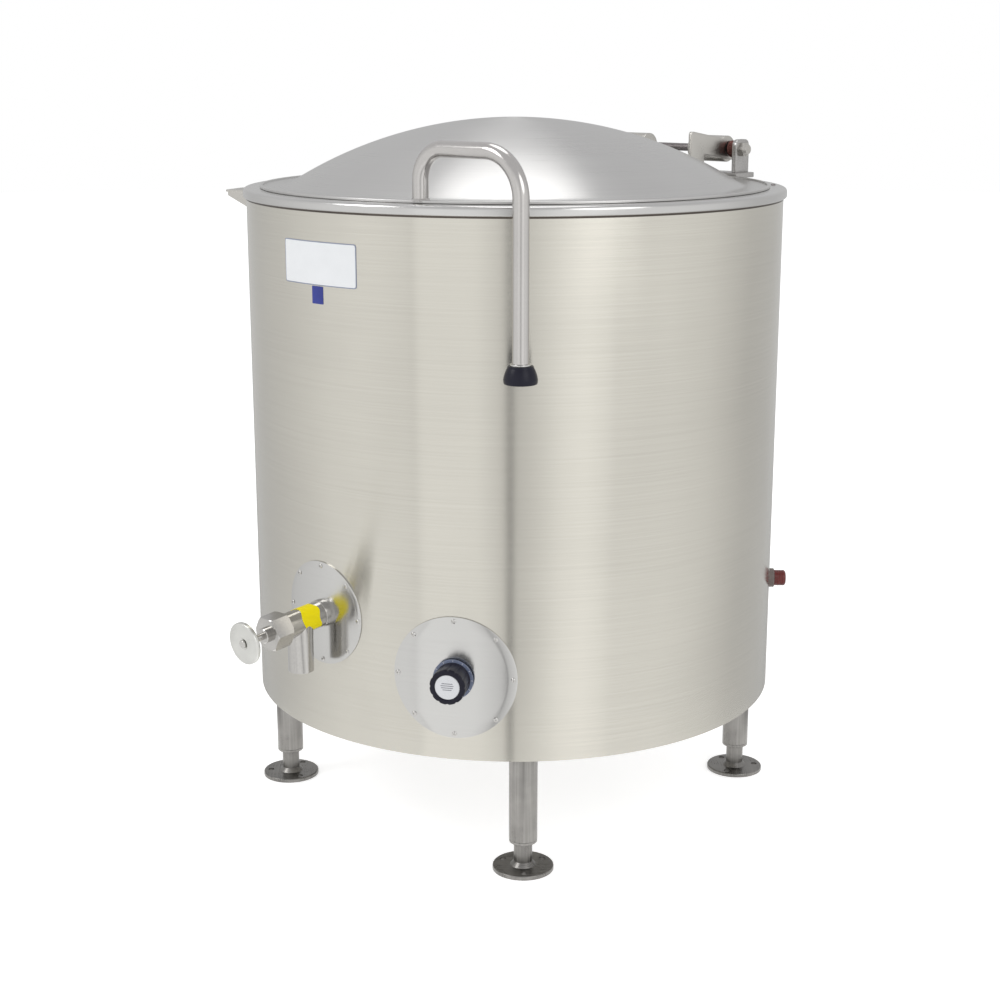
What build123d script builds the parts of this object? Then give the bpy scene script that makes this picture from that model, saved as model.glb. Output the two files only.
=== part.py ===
from build123d import *
import math
import os

# Steam-jacketed kettle. Millimetres and degrees. The origin is on the floor below the centre of the bowl,
# +Z is up and the draw-off valve faces -Y. Azimuths count from the front towards +X.

# Clearances, the reach of a cut through the skirt or a cover plate, and the sides of a nut
seat_gap = 0.1
body_gap = 0.3
running_gap = 0.05
plate_opening_reach = 30.0
hex_sides = 6

# Skirt and rim
skirt_wall = 1.5
skirt_bottom = 180.0
rim_sheet = 3.0
bead_overhang = 5.1
bead_height = 14.0
bead_depth = 11.5
bead_top_round = 7.0
bead_bottom_round = 4.0

# Bowl and its strainer
bowl_radius = 330.0
bowl_wall = 2.0
bowl_bottom = 384.0
bowl_straight = 241.0
strainer_wall = 1.2
strainer_length = 150.0
strainer_width = 54.0
strainer_setback = 82.0
strainer_hole = 4.0
strainer_pitch = 15.0
strainer_columns = 3
strainer_rows = 8
strainer_knob_radius = 7.0
strainer_knob_height = 16.0
strainer_neck_radius = 3.0

# Steam jacket with the sump that holds the water
steam_space = 37.0
jacket_wall = 3.0
jacket_over_centre = 86.0
sump_radius = 120.0
sump_drop = 139.0
sump_floor = 4.0

# Insulation blanket
blanket_clearance = 2.5
blanket_space = 32.9
blanket_rise = 106.0

# Base frame, bottom cover and legs
frame_sheet = 4.0
frame_flange = 75.0
frame_lip = 30.0
bracket_thickness = 6.0
bracket_rise = 96.0
bracket_inner_rise = 120.0
bracket_reach = 175.0
bracket_foot = 58.0
cover_sheet = 1.5
cover_clearance = 2.0
cover_dish_margin = 129.8
cover_dish_depth = 12.0
cover_screw_count = 8
cover_screw_inset = 7.0
leg_count = 4
leg_inset = 39.9
leg_tube_radius = 20.65
leg_tube_wall = 1.65
leg_tube_bottom = 46.0
bush_collar = 4.0
bush_length = 40.0
foot_neck_radius = 13.5
foot_neck_top = 110.0
foot_flange_radius = 44.45
foot_flange_thickness = 6.0
foot_hub_radius = 19.0
foot_hub_height = 12.0
foot_bolt_circle = 33.0
foot_bolt_radius = 4.75
foot_bolt_count = 3

# Draw-off valve: distances run outward along its axis from the skirt
valve_drop = 18.0
valve_tilt = 5.0
tube_radius = 19.05
tube_wall = 1.6
tube_setback = 21.4
valve_body_start = 8.0
valve_seat_start = 12.0
valve_seat_end = 18.0
valve_seat_bore = 12.0
ferrule_radius = 22.0
ferrule_length = 5.0
valve_body_end = 82.0
spout_distance = 43.0
spout_drop = 77.0
spout_radius = 18.5
spout_bore = 17.0
spout_mouth_bore = 17.5
spout_mouth_depth = 20.0
seal_radius = 16.0
seal_thickness = 3.0
plug_radius = 16.2
plug_nose_radius = 8.0
plug_neck_radius = 4.0
plug_nose_length = 3.0
plug_length = 13.0
plug_socket_depth = 8.0
stem_radius = 5.0
stem_end = 144.0
bonnet_flange = 4.0
bonnet_boss_radius = 11.0
bonnet_end = 112.0
packing_radius = 8.5
packing_length = 8.0
nut_start = 74.0
nut_end = 104.0
nut_across_flats = 46.0
nut_bevel = 2.5
wheel_radius = 30.5
wheel_front = 147.0
wheel_thickness = 7.0
wheel_round = 2.2
wheel_hub_radius = 9.5
wheel_hub_start = 126.0
wheel_screw_head_radius = 6.0
wheel_screw_head = 2.6
wheel_screw_radius = 2.5
wheel_screw_depth = 12.0
valve_plate_radius = 76.0
skirt_tube_clearance = 4.0

# Cover plates on the skirt
plate_sheet = 1.5
plate_screw_inset = 6.0
plate_screw_count = 8
plate_screw_radius = 2.0
plate_screw_head_radius = 3.6
plate_screw_head = 1.8
plate_screw_tip = 4.0

# Thermostat: distances run outward from the skirt
control_azimuth = 31.0
control_rise = 122.0
control_plate_radius = 89.0
control_opening_radius = 66.0
thermostat_front = -3.0
thermostat_width = 46.0
thermostat_depth = 40.0
thermostat_round = 4.0
thermostat_neck_radius = 4.8
thermostat_neck_end = 5.0
thermostat_nut_across = 13.0
thermostat_nut_height = 2.4
knob_shaft_radius = 3.1
knob_shaft_back = -14.0
knob_shaft_flat = 2.2
dial_radius = 29.0
dial_thickness = 2.0
dial_round = 0.7
dial_start = 6.0
knob_base_radius = 25.0
knob_tip_radius = 22.5
knob_front = 43.0
knob_round = 2.5
knob_bore_depth = 20.0
knob_flute_radius = 2.2
knob_flute_count = 12
knob_flute_depth = 0.9
knob_face_radius = 15.5
knob_face_recess = 1.2
knob_face_thickness = 1.6

# Indicator: distances run outward from the skirt
lamp_azimuth = 130.0
lamp_rise = 158.0
lamp_barrel_radius = 11.0
lamp_barrel_wall = 1.5
lamp_barrel_back = -24.0
lamp_flange_radius = 15.0
lamp_flange_thickness = 9.0
lamp_flange_round = 1.5
lens_radius = 12.5
lens_length = 19.0
lens_round = 4.0
lens_spigot_radius = 8.5
lens_spigot_length = 12.0

# Faucet bracket
bracket_azimuth = -67.5
faucet_plate_width = 60.0
faucet_plate_reach = 80.0
faucet_plate_sheet = 3.0
faucet_plate_drop = 17.0
faucet_plate_round = 6.0
faucet_hole_radius = 17.5
faucet_hole_distance = 40.0
faucet_cheek_height = 31.0
faucet_cheek_tip = 7.0

# Lid hinge on the rim
hinge_inset = 18.4
hinge_rise = 45.0
hinge_lid_clearance = 4.0
hinge_plate_overhang = 0.5
hinge_plate_half = 160.0
hinge_plate_thickness = 8.0
hinge_plate_round = 6.0
post_inside = 136.0
post_thickness = 8.0
post_width = 36.0
post_over_axis = 16.0
post_round = 12.0
shaft_radius = 6.25
shaft_end = 148.0
shaft_nut_across = 21.0
shaft_nut_height = 7.0
shaft_nut_crown = 4.5
arm_outside = 120.0
arm_thickness = 6.0
arm_tail = 15.0
arm_under_axis = 19.0
arm_over_axis = 12.0
arm_reach = 105.0
arm_front_rise = 31.0
arm_leg_width = 35.0
arm_round = 7.0
arm_hub_inside = 48.0
arm_hub_radius = 21.0
spring_wire = 1.4
spring_wire_sides = 8
spring_radius = 12.6
spring_turns = 4
spring_end_gap = 0.4

# Lid
lid_sheet = 1.6
lid_crown_height = 100.0
lid_rim_margin = 25.5
lid_flange_width = 40.0
lid_hem = 4.0
lid_hem_width = 5.0

# Lid handle
handle_tube_radius = 11.1
handle_tube_wall = 1.5
handle_azimuth = 23.2
handle_foot_inset = 12.0
handle_rise = 70.1
handle_foot_bend = 42.0
handle_drop_bend = 60.0
handle_drop_azimuth = 43.8
handle_standoff = 62.6
handle_drop = 218.0
end_overhang = 6.0
end_height = 24.0
end_bottom_radius = 21.5
end_top_radius = 15.5
end_skirt_height = 5.0

# Immersion elements, control gear and supply, out of sight
element_rise = 55.0
element_pitch = 22.0
element_count = 3
element_rod_radius = 4.25
element_half_width = 26.0
element_reach = 165.0
element_neck_radius = 46.0
element_neck_bore = 40.0
element_neck_reach = 14.0
element_flange_radius = 52.0
element_flange_thickness = 14.0
element_terminal = 18.0
well_azimuth = 31.0
well_rise = 100.0
well_radius = 6.0
well_bore = 4.6
well_depth = 70.0
well_head_radius = 11.0
well_head_length = 14.0
contactor_azimuth = 150.0
contactor_inset = 156.4
contactor_width = 70.0
contactor_depth = 60.0
contactor_height = 85.0
contactor_round = 4.0
contactor_rail_height = 8.0
contactor_rail_width = 35.0

# Conduit hub and safety valve on the rear
conduit_azimuth = 180.0
conduit_rise = 68.0
conduit_bore = 13.0
conduit_radius = 17.0
conduit_reach = 22.0
conduit_back = -14.0
conduit_flange_radius = 24.0
conduit_flange_thickness = 6.0
relief_azimuth = 205.0
relief_over_centre = 46.0
relief_pipe_radius = 10.7
relief_pipe_bore = 7.9
relief_distance = 52.0
relief_socket_radius = 14.5
relief_socket_length = 25.0
relief_body_bottom = -18.0
relief_body_height = 62.0
relief_body_radius = 16.0
relief_bonnet_radius = 12.0
relief_stem_radius = 3.0
relief_stem_height = 80.0
relief_pivot_height = 74.0
relief_pivot_offset = 15.0
relief_pivot_radius = 2.0
relief_ear_width = 5.0
relief_ear_sheet = 2.5
relief_lever_width = 8.0
relief_lever_length = 46.0
relief_lever_thickness = 4.0

# Sizes that follow from the ones above
bowl_outer = bowl_radius + bowl_wall
bowl_centre = bowl_bottom + bowl_radius
rim_height = bowl_centre + bowl_straight
rim_underside = rim_height - rim_sheet
jacket_inner = bowl_outer + steam_space
jacket_outer = jacket_inner + jacket_wall
jacket_top = bowl_centre + jacket_over_centre
sump_bottom = bowl_bottom - sump_drop
skirt_inner = jacket_outer + blanket_space
skirt_radius = skirt_inner + skirt_wall
skirt_top = rim_height - bead_height
bead_radius = skirt_radius + bead_overhang
bead_inner = bead_radius - bead_depth
blanket_bottom = bowl_bottom + blanket_rise
frame_outer = skirt_inner - seat_gap
frame_inner = frame_outer - frame_flange
frame_top = skirt_bottom + frame_sheet
bracket_top = bowl_bottom + bracket_rise
bracket_inner_height = skirt_bottom + bracket_inner_rise
cover_dish_radius = frame_inner - cover_dish_margin
leg_circle = skirt_radius - leg_inset
leg_azimuths = [45.0 + 360.0 * place / leg_count for place in range(leg_count)]
valve_height = bowl_bottom - valve_drop
tube_reach = skirt_radius - tube_setback
tube_bore = tube_radius - tube_wall
spout_bottom = valve_height - spout_drop
stem_bore = stem_radius + running_gap
control_height = skirt_bottom + control_rise
lamp_height = skirt_bottom + lamp_rise
conduit_height = skirt_bottom + conduit_rise
relief_height = bowl_centre + relief_over_centre
element_height = sump_bottom + element_rise
well_height = sump_bottom + well_rise
contactor_circle = skirt_radius - contactor_inset
lid_radius = bead_radius - lid_rim_margin
lid_dome_radius = lid_radius - lid_flange_width
lid_seat = rim_height + body_gap
lid_flange_top = lid_seat + lid_sheet
lid_sphere = (lid_dome_radius**2 + lid_crown_height**2) / (2 * lid_crown_height)
lid_sphere_centre = lid_flange_top + lid_crown_height - lid_sphere
handle_foot_radius = lid_radius - handle_foot_inset
handle_run_height = lid_flange_top + handle_rise
handle_drop_radius = skirt_radius + handle_standoff
handle_drop_bottom = rim_height - handle_drop
end_bottom = handle_drop_bottom - end_overhang
end_top = end_bottom + end_height
hinge_y = skirt_radius - hinge_inset
hinge_z = rim_height + hinge_rise
hinge_plate_front = lid_radius + hinge_lid_clearance
hinge_plate_rear = bead_radius + hinge_plate_overhang
hinge_plate_top = rim_height + hinge_plate_thickness
shaft_bore = shaft_radius + running_gap
arm_rear = hinge_y + arm_tail
arm_front = hinge_y - arm_reach
arm_rear_bottom = hinge_z - arm_under_axis
arm_rear_top = hinge_z + arm_over_axis
arm_front_top = hinge_z + arm_front_rise

os.makedirs("parts", exist_ok=True)


def polar_point(azimuth, radius, height):
    """Point at an azimuth from the front, a distance from the kettle's axis and a height."""
    turn = math.radians(azimuth)
    return Vector(radius * math.sin(turn), -radius * math.cos(turn), height)


def wall_plane(azimuth, height, radius=skirt_radius):
    """Plane that touches the wall, its normal pointing out of the kettle and its y axis up."""
    return Plane(
        origin=polar_point(azimuth, radius, height),
        x_dir=polar_point(azimuth + 90.0, 1.0, 0.0),
        z_dir=polar_point(azimuth, 1.0, 0.0),
    )


def radial_plane(azimuth):
    """Upright plane through the kettle's axis, its x axis pointing out at the azimuth."""
    outward = polar_point(azimuth, 1.0, 0.0)
    sideways = polar_point(azimuth - 90.0, 1.0, 0.0)
    return Plane(origin=(0, 0, 0), x_dir=outward, z_dir=sideways)


def turning_plane(mount):
    """Plane whose x axis runs out from the normal of mount and whose y axis runs along it."""
    return Plane(origin=mount.origin, x_dir=mount.x_dir, z_dir=-mount.y_dir)


def axis_of(mount):
    """The normal of mount through its origin."""
    return Axis(mount.origin, mount.z_dir)


def outline(plane, *points):
    """Closed straight-sided face on a plane."""
    with BuildSketch(plane) as face:
        with BuildLine():
            Polyline(*points, close=True)
        make_face()
    return face.sketch


def ring(plane, outer, inner):
    """Flat ring on a plane."""
    with BuildSketch(plane) as face:
        Circle(outer)
        Circle(inner, mode=Mode.SUBTRACT)
    return face.sketch


def disc(plane, radius):
    """Flat disc on a plane."""
    with BuildSketch(plane) as face:
        Circle(radius)
    return face.sketch


def holes_on(plane, circle, radius, count, start=0.0):
    """Round holes spaced evenly on a circle on a plane."""
    with BuildSketch(plane) as face:
        with PolarLocations(circle, count, start_angle=start):
            Circle(radius)
    return face.sketch


def screw_planes(azimuth, height, circle):
    """Planes on the skirt, square to it, at the places of a cover plate's screws."""
    planes = []
    for place in range(plate_screw_count):
        turn = 2.0 * math.pi * place / plate_screw_count
        aside = math.degrees(math.asin(circle * math.cos(turn) / skirt_radius))
        planes.append(wall_plane(azimuth + aside, height + circle * math.sin(turn)))
    return planes


def finish(piece, name):
    """Names a finished piece and writes it."""
    piece.part.label = name
    export_step(piece.part, f"parts/{name}.step")


front_plane = Plane.XZ
valve = Plane(
    origin=(0, -skirt_radius, valve_height),
    x_dir=(1, 0, 0),
    z_dir=(0, -math.cos(math.radians(valve_tilt)), -math.sin(math.radians(valve_tilt))),
)
valve_wall = wall_plane(0.0, valve_height)
control = wall_plane(control_azimuth, control_height)
lamp = wall_plane(lamp_azimuth, lamp_height)
conduit = wall_plane(conduit_azimuth, conduit_height)
relief = wall_plane(relief_azimuth, relief_height)

# Outer skirt: a rolled sheet with openings for the draw-off, the thermostat, the lamp, the conduit and the
# safety valve's pipe
valve_screws = screw_planes(0.0, valve_height, valve_plate_radius - plate_screw_inset)
control_screws = screw_planes(control_azimuth, control_height, control_plate_radius - plate_screw_inset)
with BuildPart() as outer_skirt:
    extrude(ring(Plane.XY.offset(skirt_bottom), skirt_radius, skirt_inner), amount=skirt_top - skirt_bottom)
    for wall, opening in (
        (valve_wall, tube_radius + skirt_tube_clearance),
        (control, control_opening_radius),
        (lamp, lamp_barrel_radius + seat_gap),
        (conduit, conduit_radius + seat_gap),
        (relief, relief_pipe_radius + seat_gap),
    ):
        extrude(disc(wall, opening), amount=plate_opening_reach, both=True, mode=Mode.SUBTRACT)
    for place in valve_screws + control_screws:
        screw_hole = disc(place, plate_screw_radius + seat_gap)
        extrude(screw_hole, amount=plate_screw_tip, both=True, mode=Mode.SUBTRACT)
finish(outer_skirt, "outer_skirt")

# Rim ring: a flat flange from the bowl to the skirt with a rounded bead outside it
with BuildPart() as rim_ring:
    with BuildSketch(front_plane) as rim_section:
        with BuildLine():
            Polyline(
                (bowl_radius, rim_height),
                (bead_radius, rim_height),
                (bead_radius, skirt_top),
                (bead_inner, skirt_top),
                (bead_inner, rim_underside),
                (bowl_radius, rim_underside),
                close=True,
            )
        make_face()
        nose = rim_section.vertices().group_by(Axis.X)[-1].sort_by(Axis.Y)
        fillet(nose[-1], radius=bead_top_round)
        nose = rim_section.vertices().group_by(Axis.X)[-1].sort_by(Axis.Y)
        fillet(nose[0], radius=bead_bottom_round)
    revolve(axis=Axis.Z)
finish(rim_ring, "rim_ring")

# Kettle liner: the bowl, with the slot where the tangent draw-off tube leaves its bottom
with BuildPart() as kettle_liner:
    with BuildSketch(front_plane):
        with BuildLine():
            Line((bowl_radius, rim_underside), (bowl_radius, bowl_centre))
            CenterArc((0, bowl_centre), bowl_radius, -90, 90)
            Line((0, bowl_centre - bowl_radius), (0, bowl_centre - bowl_outer))
            CenterArc((0, bowl_centre), bowl_outer, -90, 90)
            Line((bowl_outer, bowl_centre), (bowl_outer, rim_underside))
            Line((bowl_outer, rim_underside), (bowl_radius, rim_underside))
        make_face()
    revolve(axis=Axis.Z)
    extrude(disc(valve.offset(-tube_reach), tube_bore), amount=tube_reach, mode=Mode.SUBTRACT)
finish(kettle_liner, "kettle_liner")

# Strainer: a flat perforated plate across the bottom of the bowl over the draw-off slot, with a lifting knob
strainer_lean = math.asin(strainer_setback / bowl_radius)
strainer_depth = math.sqrt((bowl_radius - body_gap) ** 2 - (strainer_length / 2) ** 2)
strainer_upward = Vector(0, math.sin(strainer_lean), math.cos(strainer_lean))
strainer_seat = Plane(
    origin=Vector(0, 0, bowl_centre) - strainer_upward * strainer_depth,
    x_dir=(1, 0, 0),
    z_dir=strainer_upward,
)
with BuildPart() as strainer:
    with BuildSketch(strainer_seat):
        SlotOverall(strainer_length, strainer_width, rotation=90)
        with GridLocations(strainer_pitch, strainer_pitch, strainer_columns, strainer_rows):
            Circle(strainer_hole, mode=Mode.SUBTRACT)
    extrude(amount=strainer_wall)
    revolve(
        outline(
            turning_plane(strainer_seat),
            (0, 0),
            (strainer_neck_radius, 0),
            (strainer_neck_radius, strainer_knob_height / 2),
            (strainer_knob_radius, strainer_knob_height / 2),
            (strainer_knob_radius, strainer_knob_height),
            (0, strainer_knob_height),
        ),
        axis=axis_of(strainer_seat),
    )
finish(strainer, "strainer")

# Steam jacket: a second bowl round the liner, closed to it above and opening into a round sump below
sump_inner = sump_radius - jacket_wall
jacket_corner = math.degrees(math.acos(sump_radius / jacket_outer))
jacket_inner_corner = math.degrees(math.acos(sump_inner / jacket_inner))
sump_outer_top = bowl_centre - jacket_outer * math.sin(math.radians(jacket_corner))
sump_inner_top = bowl_centre - jacket_inner * math.sin(math.radians(jacket_inner_corner))
bowl_weld = bowl_outer + body_gap
element_port = wall_plane(conduit_azimuth, element_height, sump_radius + element_neck_reach)
well_wall = wall_plane(well_azimuth, well_height, sump_radius)
relief_jacket = wall_plane(relief_azimuth, relief_height, jacket_outer)
with BuildPart() as steam_jacket:
    with BuildSketch(front_plane):
        with BuildLine():
            Polyline((jacket_outer, bowl_centre), (jacket_outer, jacket_top), (bowl_weld, jacket_top))
            Line((bowl_weld, jacket_top), (bowl_weld, jacket_top - jacket_wall))
            Polyline(
                (bowl_weld, jacket_top - jacket_wall),
                (jacket_inner, jacket_top - jacket_wall),
                (jacket_inner, bowl_centre),
            )
            CenterArc((0, bowl_centre), jacket_inner, -jacket_inner_corner, jacket_inner_corner)
            Polyline(
                (sump_inner, sump_inner_top),
                (sump_inner, sump_bottom + sump_floor),
                (0, sump_bottom + sump_floor),
                (0, sump_bottom),
                (sump_radius, sump_bottom),
                (sump_radius, sump_outer_top),
            )
            CenterArc((0, bowl_centre), jacket_outer, -jacket_corner, jacket_corner)
        make_face()
    revolve(axis=Axis.Z)
    extrude(disc(valve.offset(-tube_reach), tube_radius + seat_gap), amount=tube_reach, mode=Mode.SUBTRACT)
    extrude(disc(element_port, element_neck_radius), amount=-(element_neck_reach + sump_radius / 2))
    extrude(
        disc(Plane.XY.offset(sump_bottom + sump_floor), sump_inner),
        amount=sump_inner_top - sump_bottom - sump_floor,
        mode=Mode.SUBTRACT,
    )
    extrude(
        disc(element_port, element_neck_bore),
        amount=-(element_neck_reach + sump_radius / 2),
        mode=Mode.SUBTRACT,
    )
    extrude(disc(well_wall, well_radius + seat_gap), amount=sump_radius / 3, both=True, mode=Mode.SUBTRACT)
    extrude(
        disc(relief_jacket, relief_pipe_radius + seat_gap),
        amount=steam_space / 2,
        both=True,
        mode=Mode.SUBTRACT,
    )
finish(steam_jacket, "steam_jacket")

# Insulation blanket between the jacket, the bowl and the skirt
with BuildPart() as insulation:
    revolve(
        outline(
            front_plane,
            (skirt_inner - blanket_clearance, blanket_bottom),
            (skirt_inner - blanket_clearance, skirt_top - blanket_clearance),
            (bowl_outer + blanket_clearance, skirt_top - blanket_clearance),
            (bowl_outer + blanket_clearance, jacket_top + seat_gap),
            (jacket_outer + blanket_clearance, jacket_top + seat_gap),
            (jacket_outer + blanket_clearance, blanket_bottom),
        ),
        axis=Axis.Z,
    )
    extrude(
        disc(relief_jacket, relief_pipe_radius + blanket_clearance),
        amount=skirt_radius - jacket_outer,
        mode=Mode.SUBTRACT,
    )
finish(insulation, "insulation")

# Base frame: a rolled angle inside the foot of the skirt, with welded brackets up to the jacket
with BuildPart() as base_frame:
    revolve(
        outline(
            front_plane,
            (frame_inner, skirt_bottom),
            (frame_outer, skirt_bottom),
            (frame_outer, frame_top + frame_lip),
            (frame_outer - frame_sheet, frame_top + frame_lip),
            (frame_outer - frame_sheet, frame_top),
            (frame_inner, frame_top),
        ),
        axis=Axis.Z,
    )
    bracket_outer = frame_outer - frame_sheet
    for azimuth in leg_azimuths:
        extrude(
            outline(
                radial_plane(azimuth),
                (bracket_outer, frame_top),
                (bracket_outer, bracket_top),
                (bracket_outer - bracket_reach, bracket_top),
                (bracket_outer - bracket_foot, bracket_inner_height),
                (bracket_outer - bracket_foot, frame_top),
            ),
            amount=bracket_thickness / 2,
            both=True,
        )
    with Locations((0, 0, bowl_centre)):
        Sphere(jacket_outer + seat_gap, mode=Mode.SUBTRACT)
    extrude(
        holes_on(
            Plane.XY.offset(skirt_bottom),
            frame_inner + cover_screw_inset,
            plate_screw_radius + seat_gap,
            cover_screw_count,
        ),
        amount=frame_sheet,
        mode=Mode.SUBTRACT,
    )
finish(base_frame, "base_frame")

# Bottom cover: a dished disc screwed up against the frame between the legs
cover_radius = leg_circle - leg_tube_radius - cover_clearance
cover_screw_circle = frame_inner + cover_screw_inset
with BuildPart() as bottom_cover:
    revolve(
        outline(
            front_plane,
            (0, skirt_bottom + cover_dish_depth),
            (cover_dish_radius - cover_dish_depth, skirt_bottom + cover_dish_depth),
            (cover_dish_radius, skirt_bottom),
            (cover_radius, skirt_bottom),
            (cover_radius, skirt_bottom - cover_sheet),
            (cover_dish_radius, skirt_bottom - cover_sheet),
            (cover_dish_radius - cover_dish_depth, skirt_bottom + cover_dish_depth - cover_sheet),
            (0, skirt_bottom + cover_dish_depth - cover_sheet),
        ),
        axis=Axis.Z,
    )
    extrude(
        holes_on(
            Plane.XY.offset(skirt_bottom - cover_sheet),
            cover_screw_circle,
            plate_screw_radius + seat_gap,
            cover_screw_count,
        ),
        amount=cover_sheet,
        mode=Mode.SUBTRACT,
    )
finish(bottom_cover, "bottom_cover")

with BuildPart() as cover_screws:
    cover_underside = skirt_bottom - cover_sheet
    extrude(
        holes_on(
            Plane.XY.offset(cover_underside), cover_screw_circle, plate_screw_head_radius, cover_screw_count
        ),
        amount=-plate_screw_head,
    )
    extrude(
        holes_on(
            Plane.XY.offset(cover_underside), cover_screw_circle, plate_screw_radius, cover_screw_count
        ),
        amount=plate_screw_tip,
    )
finish(cover_screws, "cover_screws")

# Legs: a tube, a bush pressed into its foot and a flanged foot that screws up and down in the bush
with BuildPart() as leg_bushes:
    for azimuth in leg_azimuths:
        leg = Plane(origin=polar_point(azimuth, leg_circle, leg_tube_bottom), z_dir=(0, 0, 1))
        bush_radius = leg_tube_radius - leg_tube_wall - seat_gap
        bush_bore = foot_neck_radius + running_gap
        revolve(
            outline(
                turning_plane(leg),
                (bush_bore, -bush_collar),
                (leg_tube_radius, -bush_collar),
                (leg_tube_radius, 0),
                (bush_radius, 0),
                (bush_radius, bush_length),
                (bush_bore, bush_length),
            ),
            axis=axis_of(leg),
        )
finish(leg_bushes, "leg_bushes")

for number, azimuth in enumerate(leg_azimuths, start=1):
    leg = Plane(origin=polar_point(azimuth, leg_circle, leg_tube_bottom), z_dir=(0, 0, 1))
    with BuildPart() as leg_tube:
        leg_tube_section = ring(leg, leg_tube_radius, leg_tube_radius - leg_tube_wall)
        extrude(leg_tube_section, amount=skirt_bottom - leg_tube_bottom)
    finish(leg_tube, f"leg_tube_{number}")

    floor = Plane(
        origin=polar_point(azimuth, leg_circle, 0.0), x_dir=polar_point(azimuth, 1.0, 0.0), z_dir=(0, 0, 1)
    )
    with BuildPart() as foot:
        with BuildSketch(turning_plane(floor)) as foot_section:
            with BuildLine():
                Polyline(
                    (0, 0),
                    (foot_flange_radius, 0),
                    (foot_flange_radius, foot_flange_thickness),
                    (foot_hub_radius, foot_flange_thickness),
                    (foot_neck_radius, foot_hub_height),
                    (foot_neck_radius, foot_neck_top),
                    (0, foot_neck_top),
                    close=True,
                )
            make_face()
            rim_corner = foot_section.vertices().group_by(Axis.X)[-1].sort_by(Axis.Y)[-1]
            fillet(rim_corner, radius=foot_flange_thickness / 3)
        revolve(axis=axis_of(floor))
        extrude(
            holes_on(floor, foot_bolt_circle, foot_bolt_radius, foot_bolt_count),
            amount=foot_flange_thickness,
            mode=Mode.SUBTRACT,
        )
    finish(foot, f"foot_{number}")

# Draw-off tube: set tangent to the bottom of the bowl and trimmed to its outside
with BuildPart() as draw_off_tube:
    extrude(ring(valve.offset(-tube_reach), tube_radius, tube_bore), amount=tube_reach + valve_body_start)
    with Locations((0, 0, bowl_centre)):
        Sphere(bowl_outer + seat_gap, mode=Mode.SUBTRACT)
finish(draw_off_tube, "draw_off_tube")

# Valve body: a tube with a seat, a ferrule for the union and a spout welded in from below
spout = Plane(
    origin=(0, -skirt_radius - spout_distance, spout_bottom),
    z_dir=(0, 0, 1),
)
spout_height = valve_height - spout_distance * math.tan(math.radians(valve_tilt)) - spout_bottom
with BuildPart() as valve_body:
    revolve(
        outline(
            turning_plane(valve),
            (0, valve_body_start),
            (tube_radius, valve_body_start),
            (tube_radius, valve_body_end - ferrule_length),
            (ferrule_radius, valve_body_end - ferrule_length),
            (ferrule_radius, valve_body_end),
            (0, valve_body_end),
        ),
        axis=axis_of(valve),
    )
    extrude(disc(spout, spout_radius), amount=spout_height)
    for bore, start, end in (
        (tube_bore, valve_body_start, valve_seat_start),
        (valve_seat_bore, valve_seat_start, valve_seat_end),
        (tube_bore, valve_seat_end, valve_body_end),
    ):
        extrude(disc(valve.offset(start), bore), amount=end - start, mode=Mode.SUBTRACT)
    extrude(disc(spout, spout_bore), amount=spout_height, mode=Mode.SUBTRACT)
    extrude(disc(spout, spout_mouth_bore), amount=spout_mouth_depth, mode=Mode.SUBTRACT)
finish(valve_body, "valve_body")

# Plug and its seal, which close on the seat
seal_start = valve_seat_end + body_gap
plug_start = seal_start + seal_thickness
plug_end = plug_start + plug_length
stem_start = plug_end - plug_socket_depth + body_gap
with BuildPart() as valve_plug:
    revolve(
        outline(
            turning_plane(valve),
            (0, seal_start - plug_nose_length),
            (plug_nose_radius, seal_start - plug_nose_length),
            (plug_nose_radius, seal_start),
            (plug_neck_radius, seal_start),
            (plug_neck_radius, plug_start),
            (plug_radius, plug_start),
            (plug_radius, plug_end),
            (stem_bore, plug_end),
            (stem_bore, plug_end - plug_socket_depth),
            (0, plug_end - plug_socket_depth),
        ),
        axis=axis_of(valve),
    )
finish(valve_plug, "valve_plug")

with BuildPart() as plug_seal:
    extrude(ring(valve.offset(seal_start), seal_radius, plug_neck_radius + seat_gap), amount=seal_thickness)
finish(plug_seal, "plug_seal")

# Bonnet with its packing, clamped to the ferrule by the union nut
bonnet_start = valve_body_end
bonnet_flange_end = bonnet_start + bonnet_flange
with BuildPart() as bonnet:
    with BuildSketch(turning_plane(valve)) as bonnet_section:
        with BuildLine():
            Polyline(
                (packing_radius, bonnet_start),
                (ferrule_radius, bonnet_start),
                (ferrule_radius, bonnet_flange_end),
                (bonnet_boss_radius, bonnet_flange_end),
                (bonnet_boss_radius, bonnet_end),
                (stem_bore, bonnet_end),
                (stem_bore, bonnet_start + packing_length),
                (packing_radius, bonnet_start + packing_length),
                close=True,
            )
        make_face()
        boss_corner = bonnet_section.vertices().group_by(Axis.Y)[-1].sort_by(Axis.X)[-1]
        chamfer(boss_corner, length=nut_bevel / 2)
    revolve(axis=axis_of(valve))
finish(bonnet, "bonnet")

with BuildPart() as stem_packing:
    extrude(ring(valve.offset(bonnet_start), packing_radius - seat_gap, stem_bore), amount=packing_length)
finish(stem_packing, "stem_packing")

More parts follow.
